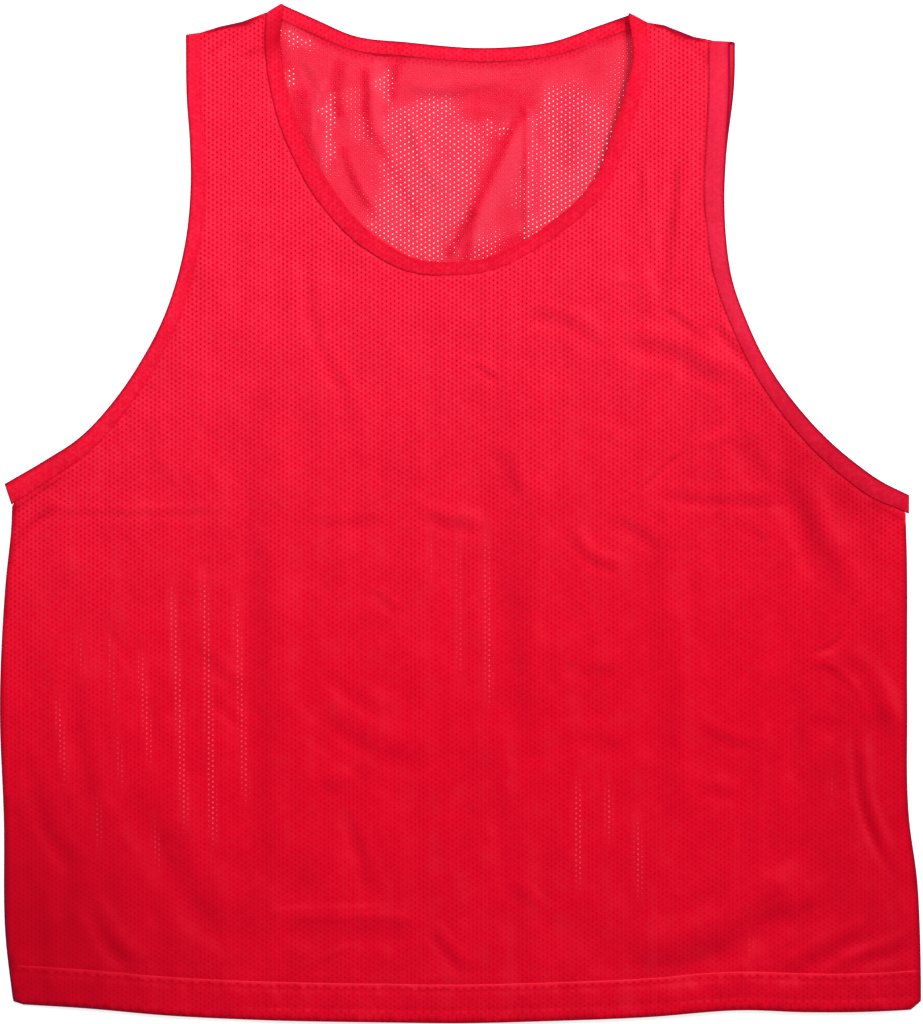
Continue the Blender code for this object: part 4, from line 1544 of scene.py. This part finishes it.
def neck_rungs():
    """Rungs of the neck's binding, all the way round."""
    top, below = rungs_on_top(STRIPS["front_neck"]), rungs_below(STRIPS["back_neck"])
    left_turn = rungs_over(top[-1], below[-1])
    right_turn = rungs_over(top[0], below[0])[::-1]
    return top + left_turn + below[::-1] + right_turn


def turned_back(strip):
    """The same strip, from its other end."""
    return tuple(edge[::-1] for edge in strip)


def make_stitches(name, line, heights, material, tilt=0.0):
    """A row of thread stitches along a line, at the given heights."""
    along = lengths_along(line)
    count = int(along[-1] // STITCH_STEP)
    rng = np.random.default_rng(STITCH_SEED)
    one = tube_faces(len(STITCH_RINGS), STITCH_SIDES, False, True)
    points, faces, places = [], [], []
    for number in range(count):
        middle = (number + 0.5) * STITCH_STEP + rng.normal(0.0, STITCH_WANDER)
        place = point_at(line, along, middle)[0]
        ahead = point_at(line, along, middle + STITCH_AHEAD)[0] - place
        ahead /= np.linalg.norm(ahead)
        turn = tilt + rng.normal(0.0, STITCH_TURN)
        cos, sin = math.cos(turn), math.sin(turn)
        ahead = np.array((ahead[0] * cos - ahead[1] * sin, ahead[0] * sin + ahead[1] * cos))
        side = np.array((-ahead[1], ahead[0]))
        z = float(np.interp(middle, along, heights))
        faces += [tuple(len(points) + corner for corner in face) for face in one]
        for share, size in STITCH_RINGS:
            centre = place + ahead * share * STITCH_LENGTH
            level = z - STITCH_DIP * (2.0 * abs(share)) ** 2
            for corner in range(STITCH_SIDES):
                angle = 2.0 * math.pi * corner / STITCH_SIDES
                off = side * math.cos(angle) * STITCH_RADIUS * size
                points.append((*(centre + off), level + math.sin(angle) * STITCH_RADIUS * size))
                part = number + 0.5 + share * STITCH_BAKE_PART
                places.append((part / count, corner / STITCH_SIDES))
    return shaped(name, np.array(points), faces, material, {"OFBake": np.array(places)})


class Nodes:
    """Short names for making a material's nodes."""

    def __init__(self, name):
        self.material = bpy.data.materials.new(name)
        self.material.use_nodes = True
        self.tree = self.material.node_tree
        self.noises = {}

    def new(self, kind, settings=(), **inputs):
        """A new node, with its settings and with its inputs set or linked."""
        node = self.tree.nodes.new("ShaderNode" + kind)
        for key, value in dict(settings).items():
            setattr(node, key, value)
        for key, value in inputs.items():
            self.link(value, node.inputs[key.replace("_", " ")])
        return node

    def link(self, value, socket):
        if isinstance(value, (int, float, tuple)):
            socket.default_value = value
        else:
            self.tree.links.new(value, socket)

    def surface(self, **inputs):
        """Sets or links the shader's inputs, and gives back the material."""
        for key, value in inputs.items():
            self.link(value, self.tree.nodes["Principled BSDF"].inputs[key.replace("_", " ")])
        return self.material

    def math(self, operation, a, b=0.0):
        node = self.new("Math", {"operation": operation})
        self.link(a, node.inputs[0])
        self.link(b, node.inputs[1])
        return node.outputs[0]

    def times(self, a, b):
        return self.math("MULTIPLY", a, b)

    def split(self, vector):
        return self.new("SeparateXYZ", Vector=vector).outputs

    def attribute(self, name):
        return self.new("Attribute", {"attribute_name": name}).outputs["Fac"]

    def spot(self):
        return self.new("TexCoord").outputs["Object"]

    def noise(self, name):
        """The noise that a row of the noises' table gives, made once."""
        if name not in self.noises:
            scale, detail, roughness, stretch = NOISES[name]
            spot = self.spot()
            if stretch != 1.0:
                spot = self.new("Mapping", Vector=spot, Scale=(1.0, stretch, 1.0)).outputs[0]
            node = self.new("TexNoise", Vector=spot, Scale=scale, Detail=detail, Roughness=roughness)
            self.noises[name] = node.outputs["Fac"]
        return self.noises[name]

    def between(self, value, from_low, from_high, to_low, to_high):
        """The value moved from one range to another, eased at both ends and kept inside it."""
        node = self.new(
            "MapRange", {"interpolation_type": "SMOOTHSTEP"}, Value=value,
            From_Min=from_low, From_Max=from_high, To_Min=to_low, To_Max=to_high,
        )
        return node.outputs[0]

    def mixed(self, share, a, b):
        """Colour a, with this share of colour b mixed in."""
        node = self.new("Mix", {"data_type": "RGBA", "blend_type": "MIX", "clamp_factor": True})
        for value, number in ((share, 0), (a, 6), (b, 7)):
            self.link(value, node.inputs[number])
        return node.outputs[2]

    def ranged(self, value, name):
        """The value moved between the ranges in a row of the ranges' table."""
        return self.between(value, *RANGES[name])

    def stained(self, colour, stains):
        """The colour with a table's stains mixed in, each as high as its noise."""
        for name, *ranges, stain in stains:
            colour = self.mixed(self.between(self.noise(name), *ranges), colour, stain)
        return colour

    def towards(self, way):
        """How far the surface leans towards a way, from -1 to 1."""
        node = self.new("VectorMath", {"operation": "DOT_PRODUCT"})
        self.link(self.new("NewGeometry").outputs["Normal"], node.inputs[0])
        self.link(way, node.inputs[1])
        return node.outputs["Value"]

    def bumps(self, *rows):
        """The normal that bumps give, from rows of a height and its name in their table."""
        node = None
        for height, name in rows:
            distance, strength = BUMPS[name]
            below = {"Normal": node.outputs[0]} if node else {}
            node = self.new("Bump", Height=height, Distance=distance, Strength=strength, **below)
        return node.outputs[0]


# Colours of the dye and the thread, in linear light, with those of the painted light and painted shade
RED = (0.840, 0.0068, 0.0375, 1.0)
# Painted shade: the red painted at the hem, darker and deeper than at the shoulders
LOW_SHADED_RED = (0.790, 0.0001, 0.0170, 1.0)
BACK_RED = (0.760, 0.0100, 0.0420, 1.0)
ARM_RED = (0.760, 0.0185, 0.0600, 1.0)
# Painted shade: the armhole binding's red painted at the hem
LOW_SHADED_ARM_RED = (0.650, 0.0010, 0.0220, 1.0)
# The darkest painted shade
EDGE_RED = (0.160, 0.0040, 0.0300, 1.0)
HOLE_SHADE_RED = (0.560, 0.0, 0.0080, 1.0)
DEEP_RED = (0.470, 0.0004, 0.0110, 1.0)
PINK_RED = (0.830, 0.0480, 0.0980, 1.0)
# Painted light: the pale pink of thin cloth lit from the floor below, and the pale end of the tone
NECK_RED = (0.775, 0.0560, 0.1000, 1.0)
# Painted light of the floor, seen through the holes of both layers
FLOOR_LIGHT_RED = (0.950, 0.1500, 0.2150, 1.0)
THREAD_RED = (0.70, 0.006, 0.032, 1.0)
DARK_THREAD_RED = (0.50, 0.001, 0.016, 1.0)
WHITE = (1.0, 1.0, 1.0, 1.0)

NOISES = {
    # scale, detail, roughness, stretch along Y
    "clouds": (22.0, 3.0, 0.5, 1.0),
    "bands": (75.0, 2.0, 0.5, 0.10),
    "specks": (900.0, 2.0, 0.6, 1.0),
    "mottles": (240.0, 2.0, 0.6, 1.0),
    "loops": (1500.0, 1.0, 0.5, 0.7),
    "binding_clouds": (40.0, 3.0, 0.5, 1.0),
    "binding_specks": (1000.0, 2.0, 0.6, 1.0),
    "binding_mottles": (300.0, 2.0, 0.6, 1.0),
    "binding_loops": (1500.0, 1.0, 0.5, 1.0),
    "wrinkles": (260.0, 2.0, 0.5, 1.0),
    "twist": (2500.0, 1.0, 0.5, 1.0),
}
CLOTH_STAINS = (
    # noise, low, high, share at low, share at high, stain
    ("clouds", 0.35, 0.65, 0.00, 0.10, DEEP_RED),
    ("bands", 0.35, 0.65, 0.00, 0.05, DEEP_RED),
    ("specks", 0.30, 0.70, 0.00, 0.22, DEEP_RED),
)
BINDING_STAINS = (
    # noise, low, high, share at low, share at high, stain
    ("binding_clouds", 0.35, 0.65, 0.02, 0.22, DEEP_RED),
    ("binding_specks", 0.30, 0.70, 0.00, 0.25, DEEP_RED),
    ("binding_mottles", 0.42, 0.66, 0.00, 0.16, PINK_RED),
)
THREAD_STAINS = (("twist", 0.3, 0.7, 0.0, 0.6, DARK_THREAD_RED),)
RANGES = {
    # low, high, result at low, result at high
    "down": (0.23, -0.16, 0.0, 1.0),
    "mottles": (0.40, 0.66, 0.0, 0.12),
    "ticks": (0.35, 0.65, 0.06, 0.36),
    "rim": (0.9, 2.5, 1.0, 0.0),
    "hollow": (0.7, 2.2, 0.0, 1.0),
    "from_light": (-0.28, 0.0, 0.20, 0.0),
    "to_light": (0.0, 0.28, 0.0, 0.25),
    "cloth_roughness": (0.2, 0.8, 0.62, 0.80),
    "binding_roughness": (0.2, 0.8, 0.60, 0.78),
}
BUMPS = {
    # distance, strength
    "loops": (0.00012, 0.6),
    "ribs": (0.00008, 0.4),
    "hollow": (0.00018, 0.5),
    "wrinkles": (0.0003, 0.35),
    "twist": (0.0001, 0.5),
}
RIBS = {"Scale": 350.0, "Distortion": 1.5, "Detail": 1.0}
SHADE_LEAN = -0.10  # how much of X is added to Y for the painted shade that deepens towards the hem and the right

# Painted shade in dark rings round the holes, and painted highlights in pale ticks between them, in
# hole radii from the middle
CLOTH_RING = (1.0, 2.7)
BINDING_RING = (0.9, 3.0)
TICKS = (2.8, 4.2)

# How much fainter these are at the hem, and how strong the rings are on each piece
CLOTH_LOSS = 0.78
BINDING_LOSS = 0.60
FRONT_RINGS = 0.80
BACK_RINGS = 0.50
NECK_RINGS = 0.85
RIGHT_RINGS = 0.20
LEFT_RINGS = 0.60

THREAD_SURFACE = {"Roughness": 0.75, "Specular_IOR_Level": 0.05}
KNIT_SHEEN = {
    "Specular_IOR_Level": 0.03,
    "Sheen_Weight": 0.005,
    "Sheen_Roughness": 0.45,
    "Sheen_Tint": (1.0, 0.72, 0.78, 1.0),
}

# The stage
FLOOR_SURFACE = {
    "Base_Color": (0.92, 0.92, 0.92, 1.0),
    "Roughness": 0.9,
    "Emission_Color": WHITE,
    "Emission_Strength": 0.66,
}
LIGHTS = (
    # name, place, target, size, power
    ("overhead", (-0.35, 0.50, 1.00), (-0.10, 0.10, 0.0), 0.6, 6.8),
    ("key", (1.45, 1.85, 1.45), (0.0, 0.0, 0.0), 0.8, 71.0),
)
FLOOR_SIZE = 6.0
FLOOR_LEVEL = -0.0002
WORLD_STRENGTH = 0.27


def down_share(nodes):
    """0 at the shoulders and 1 at the hem: the share of painted shade, deeper red towards the hem."""
    x, y, _ = nodes.split(nodes.spot())
    return nodes.ranged(nodes.math("ADD", y, nodes.times(x, SHADE_LEAN)), "down")


def toned(nodes, colour):
    """The colour, moved by the mesh's tone to pale pink, or to deep red and then darker: painted light
    and painted shade, with random bands.
    """
    value = nodes.attribute("tone")
    colour = nodes.mixed(nodes.math("MAXIMUM", value, 0.0), colour, NECK_RED)
    deep = nodes.math("MAXIMUM", nodes.times(value, -2.0), 0.0)
    darker = nodes.math("MAXIMUM", nodes.math("SUBTRACT", deep, 1.0), 0.0)
    return nodes.mixed(darker, nodes.mixed(deep, colour, DEEP_RED), EDGE_RED)


def hole_distance(nodes, drop, size):
    """How far a place is from the middle of the nearest hole, in hole radii."""
    x, y, _ = nodes.split(nodes.new("UVMap", {"uv_map": "knit"}).outputs[0])
    column = nodes.math("ROUND", x)
    across = nodes.math("SUBTRACT", x, column)
    row = nodes.math("ADD", y, nodes.times(column, drop))
    up = nodes.math("SUBTRACT", row, nodes.math("ROUND", row))
    across = nodes.times(across, 2.0 * COLUMN_STEP / size[0])
    up = nodes.times(up, 2.0 * ROW_STEP / size[1])
    square = nodes.math("ADD", nodes.times(across, across), nodes.times(up, up))
    return nodes.math("SQRT", square)


def fainter_below(nodes, low, loss):
    """1 at the shoulders, and less by this loss at the hem."""
    return nodes.math("SUBTRACT", 1.0, nodes.times(low, loss))


def cloth_material(name, dye, drop, size, rings):
    """Red mesh knit: uneven dye with painted shade round its holes and towards the hem, painted light
    and shade by slope, painted highlights between the holes and painted floor light in the streaks,
    with ribs of fine stitches.
    """
    nodes = Nodes(name)
    away = hole_distance(nodes, drop, size)
    low = down_share(nodes)
    fainter = fainter_below(nodes, low, CLOTH_LOSS)
    specks = nodes.noise("specks")
    colour = nodes.stained(nodes.mixed(low, dye, LOW_SHADED_RED), CLOTH_STAINS)
    mottles = nodes.ranged(nodes.noise("mottles"), "mottles")
    # Painted highlight: pale ticks on the raised knit between the holes
    ticks = nodes.between(away, *TICKS, 0.0, nodes.ranged(specks, "ticks"))
    # Painted shade: dark rings round the holes, where the layer below lies in shade
    ring = nodes.between(away, *CLOTH_RING, rings, 0.0)
    for share, stain in ((mottles, PINK_RED), (ticks, PINK_RED), (ring, HOLE_SHADE_RED)):
        colour = nodes.mixed(nodes.times(share, fainter), colour, stain)
    # Painted light: in the streaks the knit round each hole is painted pale, for the floor's light
    # that shows through the holes
    floor_light = nodes.times(nodes.ranged(away, "rim"), nodes.attribute("floor_light"))
    colour = nodes.mixed(floor_light, colour, FLOOR_LIGHT_RED)
    # Painted light and painted shade: paler where the surface leans towards the light, deeper where it
    # leans away
    slope = nodes.towards(LIGHT_WAY)
    colour = nodes.mixed(nodes.ranged(slope, "from_light"), colour, DEEP_RED)
    colour = nodes.mixed(nodes.ranged(slope, "to_light"), colour, PINK_RED)
    ribs = nodes.new(
        "TexWave", {"wave_type": "BANDS", "bands_direction": "X"}, Vector=nodes.spot(), **RIBS
    )
    heights = (nodes.noise("loops"), ribs.outputs["Fac"], nodes.ranged(away, "hollow"))
    return nodes.surface(
        Base_Color=toned(nodes, colour),
        Normal=nodes.bumps(*zip(heights, ("loops", "ribs", "hollow"))),
        Roughness=nodes.ranged(specks, "cloth_roughness"),
        **KNIT_SHEEN,
    )


def binding_material(name, dye, low_shaded_dye, rings):
    """Red knit of the doubled strips, with painted shade as faint dots of holes and towards the hem,
    and small cross wrinkles.
    """
    nodes = Nodes(name)
    low = down_share(nodes)
    colour = nodes.stained(nodes.mixed(low, dye, low_shaded_dye), BINDING_STAINS)
    away = hole_distance(nodes, FRONT_DROP, FRONT_HOLE)
    # Painted shade: faint dark dots where the knit's holes would lie in shade
    ring = nodes.between(away, *BINDING_RING, rings, 0.0)
    ring = nodes.times(ring, fainter_below(nodes, low, BINDING_LOSS))
    heights = (nodes.noise("binding_loops"), nodes.noise("wrinkles"))
    return nodes.surface(
        Base_Color=toned(nodes, nodes.mixed(ring, colour, HOLE_SHADE_RED)),
        Normal=nodes.bumps(*zip(heights, ("loops", "wrinkles"))),
        Roughness=nodes.ranged(nodes.noise("binding_specks"), "binding_roughness"),
        **KNIT_SHEEN,
    )


def thread_material():
    """Twisted sewing thread in the vest's red."""
    nodes = Nodes("thread")
    return nodes.surface(
        Base_Color=nodes.stained(THREAD_RED, THREAD_STAINS),
        Normal=nodes.bumps((nodes.noise("twist"), "twist")),
        **THREAD_SURFACE,
    )


def floor_material():
    """White that glows a little, so that it stays white under the lights."""
    return Nodes("floor").surface(**FLOOR_SURFACE)


def add_area_light(name, place, target, size, power):
    """A square light at a place, turned to its target."""
    data = bpy.data.lights.new(name, "AREA")
    data.shape = "SQUARE"
    data.size = size
    data.energy = power
    light = bpy.data.objects.new(name, data)
    light.location = place
    light.rotation_euler = (Vector(target) - Vector(place)).to_track_quat("-Z", "Y").to_euler()
    bpy.context.scene.collection.objects.link(light)


def add_camera():
    """A camera that looks straight down, with the photograph's frame."""
    data = bpy.data.cameras.new("camera")
    data.sensor_fit = "VERTICAL"
    data.sensor_height = SENSOR_HEIGHT
    data.lens = SENSOR_HEIGHT * CAMERA_DISTANCE / (METRES_PER_PIXEL * PHOTO_SIZE[1])
    camera = bpy.data.objects.new("camera", data)
    across = (PHOTO_SIZE[0] / 2.0 - CENTRE_PIXEL) * METRES_PER_PIXEL
    up = (HEM_PIXEL - PHOTO_SIZE[1] / 2.0) * METRES_PER_PIXEL - LENGTH / 2.0
    camera.location = (across, up, CAMERA_DISTANCE)
    bpy.context.scene.collection.objects.link(camera)
    bpy.context.scene.camera = camera


def add_stage():
    """The white floor, the lights and an even white sky."""
    bpy.ops.mesh.primitive_plane_add(size=FLOOR_SIZE, location=(0.0, 0.0, FLOOR_LEVEL))
    floor = bpy.context.object
    floor.name = "floor"
    floor.data.materials.append(floor_material())
    for light in LIGHTS:
        add_area_light(*light)
    world = bpy.data.worlds.new("studio")
    world.use_nodes = True
    background = world.node_tree.nodes["Background"]
    background.inputs["Color"].default_value = WHITE
    background.inputs["Strength"].default_value = WORLD_STRENGTH
    bpy.context.scene.world = world
    bpy.context.scene.view_settings.view_transform = "Standard"


def placed(piece, slot, *nodes):
    """The piece, riding on the root body, with the nodes it replaces hidden. Its slot is not used."""
    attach(piece, "root")
    if nodes:
        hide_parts(*nodes)
    return piece


def main():
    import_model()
    front_knit = cloth_material("front_mesh_knit", RED, FRONT_DROP, FRONT_HOLE, FRONT_RINGS)
    back_knit = cloth_material("back_mesh_knit", BACK_RED, BACK_DROP, BACK_HOLE, BACK_RINGS)
    neck_knit = binding_material("neck_binding_knit", RED, LOW_SHADED_RED, NECK_RINGS)
    arm_knit = binding_material("armhole_binding_knit", ARM_RED, LOW_SHADED_ARM_RED, RIGHT_RINGS)
    left_knit = binding_material("left_binding_knit", RED, LOW_SHADED_RED, LEFT_RINGS)
    thread = thread_material()

    front_body = body_outline("right_arm_front", "front_neck")
    back_body = body_outline("right_arm_back", "back_neck")
    hem = hem_outline()
    front_cut = (FRONT_DROP, front_holes, FRONT_HOLE, FRONT_MARGIN)
    back_cut = (BACK_DROP, back_holes, BACK_HOLE, BACK_MARGIN)
    front_looks, back_looks = (front_tone, front_knit), (back_tone, back_knit)
    hem_seam, back_hem_seam = (SEAM_LEVEL, True), (SEAM_LEVEL - GAP, True)
    body_seam = (SEAM_LEVEL, False)
    front = make_panel("front_cloth", front_body, front_cut, front_level, *body_seam, *front_looks)
    front_hem = make_panel("front_hem_cloth", hem, front_cut, hem_level, *hem_seam, *front_looks)
    back = make_panel("back_cloth", back_body, back_cut, back_level, *body_seam, *back_looks)
    back_hem = make_panel(
        "back_hem_cloth", hem, back_cut, back_hem_level, *back_hem_seam, *back_looks
    )
    right = arm_rungs(STRIPS["right_arm_front"], STRIPS["right_arm_back"])
    left = turned_back(STRIPS["left_arm"])
    tops = [len(STRIPS[name][0]) for name in BOUND_EDGES]
    neck_band = make_binding("neck_band", "front_neck", neck_rungs(), tops[2], True, neck_knit)
    right_band = make_binding(
        "armhole_band_right", "right_arm_front", right, tops[0], False, arm_knit
    )
    left_band = make_binding(
        "armhole_band_left", "left_arm", arm_rungs(left, left), tops[1], False, left_knit
    )
    placed(front, "mesh_knit", "front_panel")
    placed(front_hem, "mesh_knit", "front_panel")
    placed(back, "mesh_knit", "back_panel")
    placed(back_hem, "mesh_knit", "back_panel")
    placed(neck_band, "binding_knit", "neck_binding")
    placed(right_band, "binding_knit", "armhole_binding_right")
    placed(left_band, "binding_knit", "armhole_binding_left")

    row = HEM_SEAM[HEM_ROW_ENDS:-HEM_ROW_ENDS] - np.array((0.0, HEM_STITCH_INSET))
    hem_stitches = make_stitches("hem_stitches", row, hem_level(row) - HEM_STITCH_SINK, thread)
    placed(hem_stitches, "mesh_knit")
    for name in BOUND_EDGES:
        row = beside(STRIPS[name][1], -BOUND_STITCH_INSET)
        heights = FRONT_REST + front_relief(row) - SEAM_GROOVES[name] + BOUND_STITCH_RISE
        placed(make_stitches(name + "_stitches", row, heights, thread), "binding_knit")
    row = beside(STRIPS["back_neck"][1], -NECK_STITCH_INSET)
    heights = np.full(len(row), BINDING * BINDING_FLATNESS - NECK_STITCH_SINK)
    across = make_stitches("back_neck_stitches", row, heights, thread, math.pi / 2.0)
    placed(across, "binding_knit")

    add_stage()
    add_camera()


main()
